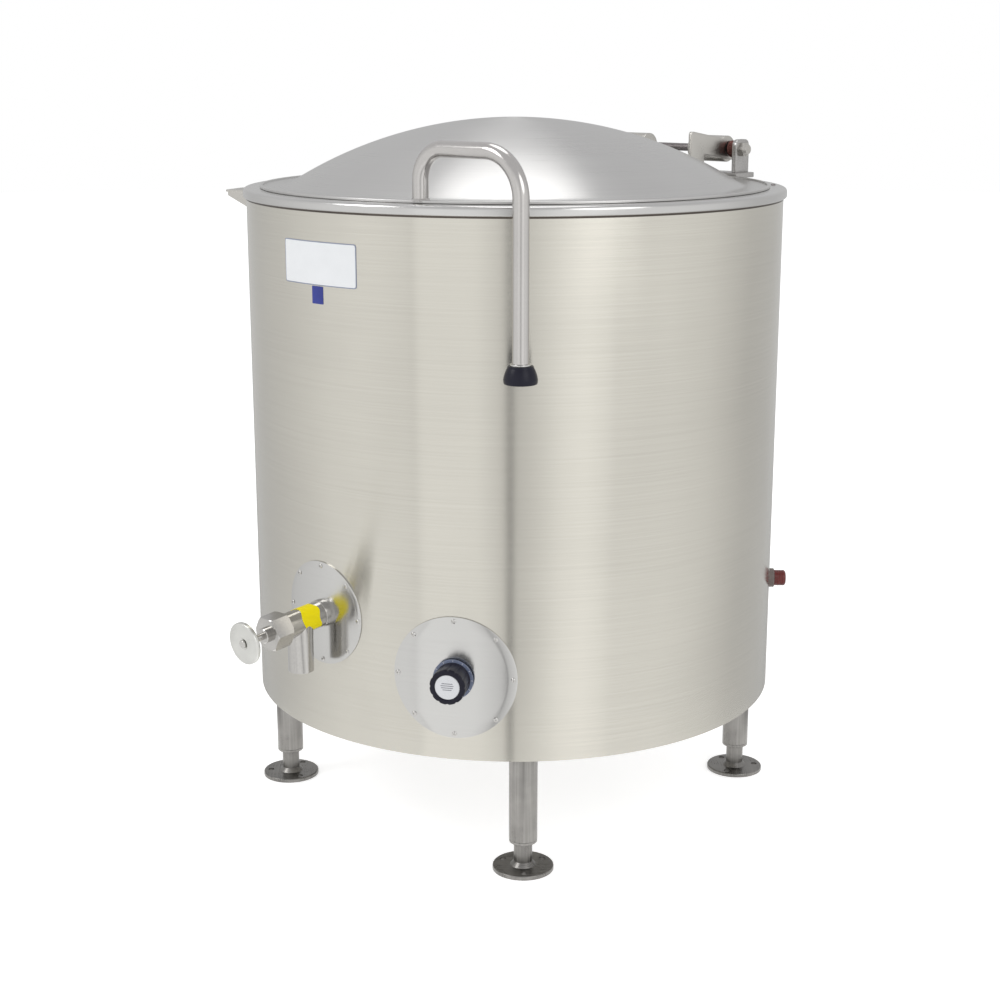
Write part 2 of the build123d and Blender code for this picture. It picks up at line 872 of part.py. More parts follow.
nut_corner = nut_across_flats / 2 / math.cos(math.pi / hex_sides)
with BuildPart() as union_nut:
    with BuildSketch(valve.offset(nut_start)):
        RegularPolygon(nut_corner, hex_sides)
    extrude(amount=nut_end - nut_start)
    revolve(
        outline(
            turning_plane(valve),
            (0, nut_start),
            (nut_corner - nut_bevel, nut_start),
            (nut_corner, nut_start + nut_bevel),
            (nut_corner, nut_end - nut_bevel),
            (nut_corner - nut_bevel, nut_end),
            (0, nut_end),
        ),
        axis=axis_of(valve),
        mode=Mode.INTERSECT,
    )
    revolve(
        outline(
            turning_plane(valve),
            (0, nut_start),
            (ferrule_radius + seat_gap, nut_start),
            (ferrule_radius + seat_gap, bonnet_flange_end),
            (bonnet_boss_radius + seat_gap, bonnet_flange_end),
            (bonnet_boss_radius + seat_gap, nut_end),
            (0, nut_end),
        ),
        axis=axis_of(valve),
        mode=Mode.SUBTRACT,
    )
finish(union_nut, "union_nut")

# Stem, handwheel and the screw that holds them together
with BuildPart() as valve_stem:
    extrude(disc(valve.offset(stem_start), stem_radius), amount=stem_end - stem_start)
    extrude(
        disc(valve.offset(stem_end), wheel_screw_radius + seat_gap),
        amount=-wheel_screw_depth,
        mode=Mode.SUBTRACT,
    )
finish(valve_stem, "valve_stem")

with BuildPart() as handwheel:
    with BuildSketch(turning_plane(valve)) as wheel_section:
        with BuildLine():
            Polyline(
                (stem_radius + seat_gap, wheel_hub_start),
                (wheel_hub_radius, wheel_hub_start),
                (wheel_hub_radius, wheel_front - wheel_thickness),
                (wheel_radius, wheel_front - wheel_thickness),
                (wheel_radius, wheel_front),
                (wheel_screw_radius + seat_gap, wheel_front),
                (wheel_screw_radius + seat_gap, stem_end),
                (stem_radius + seat_gap, stem_end),
                close=True,
            )
        make_face()
        fillet(wheel_section.vertices().group_by(Axis.X)[-1], radius=wheel_round)
    revolve(axis=axis_of(valve))
finish(handwheel, "handwheel")

with BuildPart() as wheel_screw:
    extrude(disc(valve.offset(wheel_front), wheel_screw_head_radius), amount=wheel_screw_head)
    wheel_screw_edge = wheel_screw.edges().filter_by(GeomType.CIRCLE).sort_by(axis_of(valve))[-1]
    fillet(wheel_screw_edge, radius=wheel_screw_head / 2)
    extrude(
        disc(valve.offset(wheel_front), wheel_screw_radius),
        amount=-(wheel_screw_depth + wheel_front - stem_end - body_gap),
    )
finish(wheel_screw, "wheel_screw")

# Cover plates: discs rolled to the skirt, each held by a circle of small screws
plate_inner = skirt_radius + seat_gap
plate_outer = plate_inner + plate_sheet
thermostat_opening = thermostat_neck_radius + seat_gap
for wall, plate_radius, bore, bore_axis, places, name in (
    (valve_wall, valve_plate_radius, tube_radius + body_gap, valve, valve_screws, "valve_plate"),
    (control, control_plate_radius, thermostat_opening, control, control_screws, "control_plate"),
):
    with BuildPart() as plate:
        extrude(
            ring(Plane.XY.offset(wall.origin.Z), plate_outer, plate_inner), amount=plate_radius, both=True
        )
        extrude(disc(wall, plate_radius), amount=plate_opening_reach, both=True, mode=Mode.INTERSECT)
        extrude(disc(bore_axis, bore), amount=plate_opening_reach, both=True, mode=Mode.SUBTRACT)
        for place in places:
            screw_hole = disc(place, plate_screw_radius + seat_gap)
            extrude(screw_hole, amount=plate_screw_tip, both=True, mode=Mode.SUBTRACT)
    finish(plate, name)

    with BuildPart() as screws:
        for place in places:
            screw_seat = place.offset(plate_outer - skirt_radius + seat_gap)
            extrude(disc(screw_seat, plate_screw_head_radius), amount=plate_screw_head)
            extrude(disc(screw_seat, plate_screw_radius), amount=-plate_screw_tip)
    finish(screws, f"{name}_screws")

# Thermostat: its body hangs behind the cover plate by a threaded neck and a nut
with BuildPart() as thermostat_body:
    with BuildSketch(control.offset(thermostat_front)):
        RectangleRounded(thermostat_width, thermostat_width, thermostat_round)
    extrude(amount=-thermostat_depth)
    extrude(
        disc(control.offset(thermostat_front), thermostat_neck_radius),
        amount=thermostat_neck_end - thermostat_front,
    )
    extrude(
        disc(control.offset(thermostat_neck_end), knob_shaft_radius + running_gap),
        amount=knob_shaft_back - body_gap - thermostat_neck_end,
        mode=Mode.SUBTRACT,
    )
finish(thermostat_body, "thermostat_body")

plate_crown = plate_outer - skirt_radius
with BuildPart() as thermostat_nut:
    with BuildSketch(control.offset(plate_crown)):
        RegularPolygon(thermostat_nut_across / 2, hex_sides, major_radius=False)
        Circle(thermostat_neck_radius + seat_gap, mode=Mode.SUBTRACT)
    extrude(amount=thermostat_nut_height)
finish(thermostat_nut, "thermostat_nut")

shaft_tip = dial_start + knob_bore_depth - body_gap
with BuildPart() as thermostat_shaft:
    extrude(disc(control.offset(knob_shaft_back), knob_shaft_radius), amount=shaft_tip - knob_shaft_back)
    with BuildSketch(control.offset(shaft_tip)):
        with Locations((0, knob_shaft_flat + knob_shaft_radius)):
            Rectangle(2 * knob_shaft_radius, 2 * knob_shaft_radius)
    extrude(amount=dial_start + body_gap - shaft_tip, mode=Mode.SUBTRACT)
finish(thermostat_shaft, "thermostat_shaft")

# Dial skirt, fluted knob and its bright face
knob_start = dial_start + dial_thickness
with BuildPart() as dial_skirt:
    dial_section = ring(control.offset(dial_start), dial_radius, knob_shaft_radius + seat_gap)
    extrude(dial_section, amount=dial_thickness)
    dial_edge = dial_skirt.edges().filter_by(GeomType.CIRCLE).sort_by(SortBy.RADIUS)[-1]
    fillet(dial_edge, radius=dial_round)
finish(dial_skirt, "dial_skirt")

with BuildPart() as knob:
    with BuildSketch(turning_plane(control)) as knob_section:
        with BuildLine():
            Polyline(
                (0, dial_start + knob_bore_depth),
                (knob_shaft_radius + seat_gap, dial_start + knob_bore_depth),
                (knob_shaft_radius + seat_gap, knob_start),
                (knob_base_radius, knob_start),
                (knob_tip_radius, knob_front),
                (knob_face_radius + seat_gap, knob_front),
                (knob_face_radius + seat_gap, knob_front - knob_face_recess - knob_face_thickness),
                (0, knob_front - knob_face_recess - knob_face_thickness),
                close=True,
            )
        make_face()
        tip_corner = knob_section.vertices().group_by(Axis.Y)[-1].sort_by(Axis.X)[-1]
        fillet(tip_corner, radius=knob_round)
    revolve(axis=axis_of(control))
    flute_circle = knob_tip_radius + knob_flute_radius - knob_flute_depth
    extrude(
        holes_on(control.offset(knob_start + knob_round), flute_circle, knob_flute_radius, knob_flute_count),
        amount=knob_front,
        mode=Mode.SUBTRACT,
    )
finish(knob, "knob")

with BuildPart() as knob_face:
    extrude(
        disc(control.offset(knob_front - knob_face_recess), knob_face_radius), amount=-knob_face_thickness
    )
finish(knob_face, "knob_face")

# Indicator lamp: a bezel with a threaded barrel through the skirt and a domed lens plugged into it
with BuildPart() as lamp_bezel:
    with BuildSketch(turning_plane(lamp)) as bezel_section:
        with BuildLine():
            Polyline(
                (lamp_barrel_radius - lamp_barrel_wall, lamp_barrel_back),
                (lamp_barrel_radius, lamp_barrel_back),
                (lamp_barrel_radius, seat_gap),
                (lamp_flange_radius, seat_gap),
                (lamp_flange_radius, lamp_flange_thickness),
                (lamp_barrel_radius - lamp_barrel_wall, lamp_flange_thickness),
                close=True,
            )
        make_face()
        flange_corner = bezel_section.vertices().group_by(Axis.X)[-1].sort_by(Axis.Y)[-1]
        fillet(flange_corner, radius=lamp_flange_round)
    revolve(axis=axis_of(lamp))
finish(lamp_bezel, "lamp_bezel")

with BuildPart() as lamp_lens:
    with BuildSketch(turning_plane(lamp)) as lens_section:
        with BuildLine():
            Polyline(
                (0, lamp_flange_thickness - lens_spigot_length),
                (lens_spigot_radius, lamp_flange_thickness - lens_spigot_length),
                (lens_spigot_radius, lamp_flange_thickness),
                (lens_radius, lamp_flange_thickness),
                (lens_radius, lamp_flange_thickness + lens_length),
                (0, lamp_flange_thickness + lens_length),
                close=True,
            )
        make_face()
        lens_corner = lens_section.vertices().group_by(Axis.X)[-1].sort_by(Axis.Y)[-1]
        fillet(lens_corner, radius=lens_round)
    revolve(axis=axis_of(lamp))
finish(lamp_lens, "lamp_lens")

# Faucet bracket: a shelf with a faucet hole between two tapered cheeks, fitted to the skirt under the bead
with BuildPart() as faucet_bracket:
    shelf_plane = Plane(
        origin=polar_point(bracket_azimuth, skirt_radius, rim_height - faucet_plate_drop),
        x_dir=polar_point(bracket_azimuth, 1.0, 0.0),
        z_dir=(0, 0, 1),
    )
    cheek_half = faucet_plate_width / 2
    sagitta = skirt_radius - math.sqrt(skirt_radius**2 - cheek_half**2)
    with BuildSketch(shelf_plane) as shelf_outline:
        with BuildLine():
            Polyline(
                (-sagitta, -cheek_half),
                (faucet_plate_reach, -cheek_half),
                (faucet_plate_reach, cheek_half),
                (-sagitta, cheek_half),
                close=True,
            )
        make_face()
        fillet(shelf_outline.vertices().group_by(Axis.X)[-1], radius=faucet_plate_round)
        with Locations((faucet_hole_distance, 0)):
            Circle(faucet_hole_radius, mode=Mode.SUBTRACT)
    extrude(amount=-faucet_plate_sheet)
    for side in (-1, 1):
        cheek_plane = Plane(
            origin=shelf_plane.from_local_coords((0, side * (cheek_half - faucet_plate_sheet / 2), 0)),
            x_dir=shelf_plane.x_dir,
            z_dir=-shelf_plane.y_dir,
        )
        extrude(
            outline(
                cheek_plane,
                (-sagitta, -faucet_plate_sheet),
                (faucet_plate_reach - faucet_plate_round, -faucet_plate_sheet),
                (faucet_plate_reach - faucet_plate_round, -faucet_cheek_tip),
                (-sagitta, -faucet_cheek_height),
            ),
            amount=faucet_plate_sheet / 2,
            both=True,
        )
    extrude(
        disc(Plane.XY, skirt_radius + seat_gap), amount=rim_height, mode=Mode.SUBTRACT
    )
finish(faucet_bracket, "faucet_bracket")

# Hinge bracket: a plate on the rim behind the lid with two welded posts
hinge_line = Plane(origin=(0, hinge_y, hinge_z), x_dir=(0, 1, 0), z_dir=(1, 0, 0))
with BuildPart() as hinge_bracket:
    with BuildSketch(Plane.XY.offset(rim_height)) as hinge_outline:
        plate_depth = hinge_plate_rear - math.sqrt(hinge_plate_front**2 - hinge_plate_half**2)
        with Locations((0, hinge_plate_rear - plate_depth / 2)):
            Rectangle(2 * hinge_plate_half, plate_depth)
        fillet(hinge_outline.vertices().group_by(Axis.Y)[-1], radius=hinge_plate_round)
        Circle(hinge_plate_front, mode=Mode.SUBTRACT)
    extrude(amount=hinge_plate_thickness)
    for side in (-1, 1):
        post_middle = side * (post_inside + post_thickness / 2)
        with BuildSketch(hinge_line.offset(post_middle)) as post_outline:
            post_foot = hinge_plate_top - hinge_z
            with BuildLine():
                Polyline(
                    (-post_width / 2, post_foot),
                    (post_width / 2, post_foot),
                    (post_width / 2, post_over_axis),
                    (-post_width / 2, post_over_axis),
                    close=True,
                )
            make_face()
            fillet(post_outline.vertices().group_by(Axis.Y)[-1], radius=post_round)
        extrude(amount=post_thickness / 2, both=True)
    extrude(disc(hinge_line, shaft_bore), amount=hinge_plate_half, both=True, mode=Mode.SUBTRACT)
finish(hinge_bracket, "hinge_bracket")

with BuildPart() as hinge_shaft:
    extrude(disc(hinge_line, shaft_radius), amount=shaft_end, both=True)
finish(hinge_shaft, "hinge_shaft")

post_outside = post_inside + post_thickness
with BuildPart() as hinge_nuts:
    for side in (-1, 1):
        nut_seat = hinge_line.offset(side * post_outside)
        with BuildSketch(nut_seat):
            RegularPolygon(shaft_nut_across / 2, hex_sides, major_radius=False)
        extrude(amount=side * shaft_nut_height)
        crown_seat = hinge_line.offset(side * (post_outside + shaft_nut_height))
        extrude(disc(crown_seat, shaft_nut_across / 2), amount=side * shaft_nut_crown, taper=35)
        extrude(
            disc(nut_seat, shaft_radius + seat_gap),
            amount=side * (shaft_end + body_gap - post_outside),
            mode=Mode.SUBTRACT,
        )
finish(hinge_nuts, "hinge_nuts")

# Lid arms: a flat arm down to the dome, welded to a hub that turns on the shaft
for side, name in ((-1, "lid_arm_left"), (1, "lid_arm_right")):
    arm_middle = side * (arm_outside - arm_thickness / 2)
    with BuildPart() as lid_arm:
        with BuildSketch(Plane.YZ.offset(arm_middle)) as arm_outline:
            with BuildLine():
                Polyline(
                    (arm_rear, arm_rear_bottom),
                    (arm_rear, arm_rear_top),
                    (arm_front, arm_front_top),
                    (arm_front, rim_height),
                    (arm_front + arm_leg_width, rim_height),
                    (
                        arm_front + arm_leg_width,
                        arm_rear_bottom
                        + (arm_rear - arm_front - arm_leg_width)
                        * (arm_front_top - arm_rear_top)
                        / (arm_rear - arm_front),
                    ),
                    close=True,
                )
            make_face()
            fillet(arm_outline.vertices().group_by(Axis.X)[-1], radius=arm_round)
            fillet(arm_outline.vertices().sort_by(Axis.Y)[-1], radius=arm_round)
        extrude(amount=arm_thickness / 2, both=True)
        hub_length = arm_outside - arm_thickness - arm_hub_inside
        extrude(disc(hinge_line.offset(side * arm_hub_inside), arm_hub_radius), amount=side * hub_length)
        extrude(disc(hinge_line, shaft_bore), amount=side * arm_outside, mode=Mode.SUBTRACT)
        with Locations((0, 0, lid_sphere_centre)):
            Sphere(lid_sphere + seat_gap, mode=Mode.SUBTRACT)
    finish(lid_arm, name)

# Torsion springs round the shaft between each arm and its post
spring_height = post_inside - arm_outside - 2 * (spring_wire + spring_end_gap)
for side, name in ((-1, "torsion_spring_left"), (1, "torsion_spring_right")):
    coil_start = hinge_line.offset(side * (arm_outside + spring_end_gap + spring_wire))
    with BuildPart() as torsion_spring:
        with BuildLine():
            coil = Helix(
                pitch=spring_height / spring_turns,
                height=spring_height,
                radius=spring_radius,
                center=coil_start.origin,
                direction=side * hinge_line.z_dir,
            )
        with BuildSketch(Plane(origin=coil @ 0, z_dir=coil % 0)):
            RegularPolygon(spring_wire, spring_wire_sides)
        sweep(path=coil, is_frenet=True)
    finish(torsion_spring, name)

# Lid: a spun dome with a flat flange that lies on the rim, its edge turned to a hem
lid_inner_sphere = lid_sphere - lid_sheet
with BuildPart() as lid_dome:
    with BuildSketch(front_plane) as lid_section:
        outer_foot = math.sqrt(lid_sphere**2 - (lid_flange_top - lid_sphere_centre) ** 2)
        inner_foot = math.sqrt(lid_inner_sphere**2 - (lid_seat - lid_sphere_centre) ** 2)
        outer_angle = math.degrees(math.asin(outer_foot / lid_sphere))
        inner_angle = math.degrees(math.asin(inner_foot / lid_inner_sphere))
        with BuildLine():
            CenterArc((0, lid_sphere_centre), lid_sphere, 90, -outer_angle)
            Polyline(
                (outer_foot, lid_flange_top),
                (lid_radius - lid_hem_width, lid_flange_top),
                (lid_radius - lid_hem_width, lid_seat + lid_hem),
                (lid_radius, lid_seat + lid_hem),
                (lid_radius, lid_seat),
                (inner_foot, lid_seat),
            )
            CenterArc((0, lid_sphere_centre), lid_inner_sphere, 90 - inner_angle, inner_angle)
            Line((0, lid_sphere_centre + lid_inner_sphere), (0, lid_sphere_centre + lid_sphere))
        make_face()
        hem_corner = lid_section.vertices().group_by(Axis.X)[-1].sort_by(Axis.Y)[-1]
        fillet(hem_corner, radius=lid_hem / 3)
    revolve(axis=Axis.Z)
finish(lid_dome, "lid_dome")

# Lid handle: a bent tube from the lid's flange out over the rim and down outside the skirt
handle_foot = polar_point(handle_azimuth, handle_foot_radius, lid_flange_top)
handle_corner = polar_point(handle_azimuth, handle_foot_radius, handle_run_height)
drop_corner = polar_point(handle_drop_azimuth, handle_drop_radius, handle_run_height)
drop_end = polar_point(handle_drop_azimuth, handle_drop_radius, handle_drop_bottom)
with BuildPart() as lid_handle:
    with BuildLine() as handle_path:
        FilletPolyline(
            handle_foot, handle_corner, drop_corner, drop_end, radius=[handle_foot_bend, handle_drop_bend]
        )
    with BuildSketch(Plane(origin=handle_foot, z_dir=(0, 0, 1))):
        Circle(handle_tube_radius)
        Circle(handle_tube_radius - handle_tube_wall, mode=Mode.SUBTRACT)
    sweep(path=handle_path.wires()[0])
    revolve(
        outline(
            front_plane,
            (lid_radius - lid_hem_width - seat_gap, lid_seat),
            (lid_radius + lid_hem_width, lid_seat),
            (lid_radius + lid_hem_width, lid_seat + lid_hem + seat_gap),
            (lid_radius - lid_hem_width - seat_gap, lid_seat + lid_hem + seat_gap),
        ),
        axis=Axis.Z,
        mode=Mode.SUBTRACT,
    )
finish(lid_handle, "lid_handle")

# Handle end: a moulded bell over the end of the tube
bell = Plane(origin=drop_end, z_dir=(0, 0, 1))
bell_bottom = end_bottom - handle_drop_bottom
bell_top = end_top - handle_drop_bottom
with BuildPart() as handle_end:
    with BuildSketch(turning_plane(bell)):
        with BuildLine():
            Polyline(
                (0, 0),
                (0, bell_bottom),
                (end_bottom_radius, bell_bottom),
                (end_bottom_radius, bell_bottom + end_skirt_height),
            )
            ThreePointArc(
                (end_bottom_radius, bell_bottom + end_skirt_height),
                (
                    (2 * end_bottom_radius + end_top_radius) / 3,
                    (bell_bottom + end_skirt_height + 2 * bell_top) / 3,
                ),
                (end_top_radius, bell_top),
            )
            Polyline(
                (end_top_radius, bell_top),
                (handle_tube_radius + seat_gap, bell_top),
                (handle_tube_radius + seat_gap, 0),
                (0, 0),
            )
        make_face()
    revolve(axis=axis_of(bell))
finish(handle_end, "handle_end")

# Immersion elements: hairpin rods in the sump, brazed through a flange on its rear
with BuildPart() as heating_elements:
    for place in range(element_count):
        rod_height = element_height + (place - (element_count - 1) / 2) * element_pitch
        rod_outside = sump_radius + element_neck_reach + element_flange_thickness + element_terminal
        rod_inside = rod_outside - element_reach - element_terminal
        start = Vector(-element_half_width, rod_outside, rod_height)
        with BuildLine() as hairpin:
            Line(start, (-element_half_width, rod_inside, rod_height))
            ThreePointArc(
                (-element_half_width, rod_inside, rod_height),
                (0, rod_inside - element_half_width, rod_height),
                (element_half_width, rod_inside, rod_height),
            )
            Line((element_half_width, rod_inside, rod_height), (element_half_width, rod_outside, rod_height))
        with BuildSketch(Plane(origin=start, z_dir=(0, -1, 0))):
            Circle(element_rod_radius)
        sweep(path=hairpin.wires()[0])
finish(heating_elements, "heating_elements")

with BuildPart() as element_flange:
    extrude(disc(element_port, element_flange_radius), amount=element_flange_thickness)
    for place in range(element_count):
        rod_offset = (place - (element_count - 1) / 2) * element_pitch
        with BuildSketch(element_port):
            with Locations((-element_half_width, rod_offset), (element_half_width, rod_offset)):
                Circle(element_rod_radius + seat_gap)
        extrude(amount=element_flange_thickness, mode=Mode.SUBTRACT)
finish(element_flange, "element_flange")

# Bulb well for the thermostat, screwed into the side of the sump
with BuildPart() as bulb_well:
    revolve(
        outline(
            turning_plane(well_wall),
            (0, -well_depth),
            (well_radius, -well_depth),
            (well_radius, seat_gap),
            (well_head_radius, seat_gap),
            (well_head_radius, well_head_length),
            (well_bore, well_head_length),
            (well_bore, -well_depth + well_bore),
            (0, -well_depth + well_bore),
        ),
        axis=axis_of(well_wall),
    )
finish(bulb_well, "bulb_well")

# Contactor on its rail, on the bottom cover
contactor_plane = Plane(
    origin=polar_point(contactor_azimuth, contactor_circle, skirt_bottom),
    x_dir=polar_point(contactor_azimuth + 90.0, 1.0, 0.0),
    z_dir=(0, 0, 1),
)
with BuildPart() as contactor:
    with BuildSketch(contactor_plane.offset(contactor_rail_height)):
        RectangleRounded(contactor_width, contactor_depth, contactor_round)
    extrude(amount=contactor_height)
    with BuildSketch(contactor_plane):
        Rectangle(contactor_width, contactor_rail_width)
    extrude(amount=contactor_rail_height)
finish(contactor, "contactor")

# Conduit hub: a flanged, threaded hub through the rear of the skirt
with BuildPart() as conduit_hub:
    revolve(
        outline(
            turning_plane(conduit),
            (conduit_bore, conduit_back),
            (conduit_radius, conduit_back),
            (conduit_radius, seat_gap),
            (conduit_flange_radius, seat_gap),
            (conduit_flange_radius, conduit_flange_thickness),
            (conduit_radius, conduit_flange_thickness),
            (conduit_radius, conduit_reach),
            (conduit_bore, conduit_reach),
        ),
        axis=axis_of(conduit),
    )
finish(conduit_hub, "conduit_hub")

# Safety valve: a pipe from the jacket, an upright body on it and a lifting lever
relief_axis = Plane(
    origin=relief.offset(relief_distance).origin, x_dir=relief.z_dir, z_dir=(0, 0, 1)
)
lever_plane = Plane(origin=relief_axis.origin, x_dir=relief.z_dir, z_dir=-relief.x_dir)
pivot = Plane(
    origin=lever_plane.from_local_coords((-relief_pivot_offset, relief_pivot_height, 0.0)),
    x_dir=relief.z_dir,
    z_dir=-relief.x_dir,
)
with BuildPart() as safety_pipe:
    pipe_length = skirt_radius - jacket_outer + jacket_wall + relief_distance - relief_socket_length
    pipe_section = ring(relief_jacket.offset(-jacket_wall), relief_pipe_radius, relief_pipe_bore)
    extrude(pipe_section, amount=pipe_length)
finish(safety_pipe, "safety_pipe")

with BuildPart() as safety_valve:
    with BuildSketch(turning_plane(relief_axis)) as relief_section:
        with BuildLine():
            Polyline(
                (0, relief_body_bottom),
                (relief_body_radius, relief_body_bottom),
                (relief_body_radius, relief_body_height / 2),
                (relief_bonnet_radius, relief_body_height / 2),
                (relief_bonnet_radius, relief_body_height),
                (relief_stem_radius, relief_body_height),
                (relief_stem_radius, relief_stem_height),
                (0, relief_stem_height),
                close=True,
            )
        make_face()
    revolve(axis=axis_of(relief_axis))
    extrude(disc(relief.offset(relief_distance), relief_socket_radius), amount=-relief_socket_length)
    for side in (-1, 1):
        extrude(
            outline(
                lever_plane.offset(side * (relief_lever_width / 2 + body_gap)),
                (-relief_pivot_offset - relief_ear_width / 2, relief_body_height - relief_ear_width),
                (-relief_bonnet_radius / 2, relief_body_height - relief_ear_width),
                (-relief_bonnet_radius / 2, relief_body_height),
                (-relief_pivot_offset + relief_ear_width, relief_pivot_height + relief_ear_width),
                (-relief_pivot_offset - relief_ear_width / 2, relief_pivot_height + relief_ear_width),
            ),
            amount=side * relief_ear_sheet,
        )
    pivot_half_length = relief_lever_width / 2 + body_gap + relief_ear_sheet
    extrude(disc(pivot, relief_pivot_radius), amount=pivot_half_length, both=True)
finish(safety_valve, "safety_valve")

with BuildPart() as safety_lever:
    lever_under = relief_stem_height + body_gap
    extrude(
        outline(
            lever_plane,
            (-relief_pivot_offset - relief_ear_width, relief_pivot_height - relief_ear_width),
            (-relief_pivot_offset + relief_ear_width, relief_pivot_height - relief_ear_width),
            (-relief_pivot_offset + relief_ear_width, lever_under),
            (-relief_pivot_offset + relief_lever_length, lever_under),
            (-relief_pivot_offset + relief_lever_length, lever_under + relief_lever_thickness),
            (-relief_pivot_offset - relief_ear_width, lever_under + relief_lever_thickness),
        ),
        amount=relief_lever_width / 2,
        both=True,
    )
    pivot_hole = disc(pivot, relief_pivot_radius + running_gap)
    extrude(pivot_hole, amount=relief_lever_width, both=True, mode=Mode.SUBTRACT)
finish(safety_lever, "safety_lever")
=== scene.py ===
"""Looks of the jacketed kettle: its visible pieces, its finishes and a plain studio.

Metres, in the CAD model's frame. Azimuths count from the kettle's front, -Y, towards +X.
"""

from math import acos, asin, atan2, ceil, copysign, cos, degrees, hypot, pi, radians, sin, sqrt, tan

import bmesh
import bpy
from bpy.props import FloatProperty, FloatVectorProperty, IntProperty, PointerProperty
from bpy.types import Operator, Panel, PropertyGroup
from mathutils import Matrix, Vector


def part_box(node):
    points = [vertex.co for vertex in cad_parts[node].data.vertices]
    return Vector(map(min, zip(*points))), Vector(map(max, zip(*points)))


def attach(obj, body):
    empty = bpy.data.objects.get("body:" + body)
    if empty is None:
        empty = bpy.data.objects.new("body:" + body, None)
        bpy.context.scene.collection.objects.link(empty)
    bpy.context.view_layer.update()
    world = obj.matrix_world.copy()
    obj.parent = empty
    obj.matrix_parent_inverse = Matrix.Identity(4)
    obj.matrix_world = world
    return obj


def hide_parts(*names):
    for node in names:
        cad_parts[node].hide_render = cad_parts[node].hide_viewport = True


bl_info = {
    "name": "Jacketed Kettle",
    "version": (1, 0, 0),
    "blender": (4, 5, 0),
    "location": "3D View > Sidebar > Kettle",
    "description": "Builds the visible pieces, finishes and studio of a steam-jacketed kettle",
    "category": "Object",
}

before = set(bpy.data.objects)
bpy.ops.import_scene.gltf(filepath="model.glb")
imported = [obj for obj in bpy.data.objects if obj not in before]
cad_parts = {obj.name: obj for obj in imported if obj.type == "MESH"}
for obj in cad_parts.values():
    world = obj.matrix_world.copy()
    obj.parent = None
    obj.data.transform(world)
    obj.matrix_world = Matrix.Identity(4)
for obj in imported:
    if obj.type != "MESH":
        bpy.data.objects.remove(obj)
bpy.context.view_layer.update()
FULL_TURN = 2 * pi
IDENTITY = Matrix.Identity(4)
ACROSS, BACK = (1, 0, 0), (0, 1, 0)
WHITE = (1.0, 1.0, 1.0, 1.0)


# Sizes that a user would change


def length(name, description, default):
    return FloatProperty(name=name, description=description, default=default, min=0.0, unit="LENGTH")


def place_height(name, description, default):
    return FloatProperty(name=name, description=description, default=default, unit="LENGTH")


def angle(name, description, turn):
    return FloatProperty(name=name, description=description, default=radians(turn), unit="ROTATION")


def colour(name, description, default):
    return FloatVectorProperty(
        name=name, description=description, default=default, subtype="COLOR", size=3, min=0.0, max=1.0
    )


class KettleShellSizes(PropertyGroup):
    """Sizes of the skirt, rim and bowl"""

    skirt_radius: length("Skirt radius", "Outside of the skirt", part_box("outer_skirt")[1].x)
    skirt_bottom: place_height("Skirt bottom", "Height of the skirt's lower edge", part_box("outer_skirt")[0].z)
    rim_height: place_height("Rim height", "Height of the top of the rim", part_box("rim_ring")[1].z)
    bead_radius: length("Bead radius", "Outside of the rolled bead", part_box("rim_ring")[1].x)
    bead_height: length("Bead height", "Height of the rolled bead", 0.014)
    bowl_radius: length("Bowl radius", "Inside of the bowl", 0.330)
    bowl_centre: place_height("Bowl centre", "Height of the centre of the bowl's round bottom", 0.714)


class KettleLidSizes(PropertyGroup):
    """Sizes of the lid"""

    lid_radius: length("Lid radius", "Outside of the lid's hem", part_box("lid_dome")[1].x)
    dome_radius: length("Dome radius", "Radius at the foot of the dome", 0.346)
    crown: length("Crown", "Height of the dome above its flange", 0.100)
    seat: place_height("Seat", "Height of the lid's underside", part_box("lid_dome")[0].z)
    sheet: length("Sheet", "Thickness of the lid", 0.0016)


class KettleHandleSizes(PropertyGroup):
    """Sizes of the lid handle"""

    tube_radius: length("Tube radius", "Outside of the handle's tube", 0.0111)
    run_height: place_height("Run height", "Height of the level run", 1.027)
    foot_azimuth: angle("Foot azimuth", "Where the handle stands on the lid, from the front", 23.2)
    foot_radius: length("Foot distance", "From the kettle's axis to the foot", 0.374)
    drop_azimuth: angle("Drop azimuth", "Where the handle hangs down, from the front", 43.8)
    drop_radius: length("Drop distance", "From the kettle's axis to the hanging leg", 0.469)
    foot_bend: length("Foot bend", "Bend radius over the foot", 0.042)
    drop_bend: length("Drop bend", "Bend radius over the hanging leg", 0.060)
    end_bottom: place_height("End", "Height of the bottom of the black end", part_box("handle_end")[0].z)
    end_top: place_height("End top", "Height of the top of the black end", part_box("handle_end")[1].z)


class KettleValveSizes(PropertyGroup):
    """Sizes of the draw-off valve; distances run out along its axis from the skirt"""

    height: place_height("Height", "Height of the valve's axis at the skirt", 0.366)
    tilt: angle("Tilt", "Fall of the valve's axis", 5.0)
    tube_radius: length("Tube radius", "Outside of the body's tube", 0.01905)
    body_start: length("Body start", "Where the body starts", 0.008)
    body_end: length("Body end", "Where the body's ferrule ends", 0.082)
    spout_distance: length("Spout distance", "From the skirt to the spout's axis", 0.043)
    spout_bottom: place_height("Spout bottom", "Height of the spout's mouth", 0.289)
    spout_radius: length("Spout radius", "Outside of the spout", 0.0185)
    wheel_radius: length("Handwheel radius", "Outside of the handwheel", 0.0305)
    wheel_front: length("Handwheel front", "Where the handwheel's face lies", 0.147)
    plate_radius: length("Plate radius", "Radius of the cover plate", 0.076)
    screw_count: IntProperty(name="Screws", description="Screws round each cover plate", default=8, min=3)


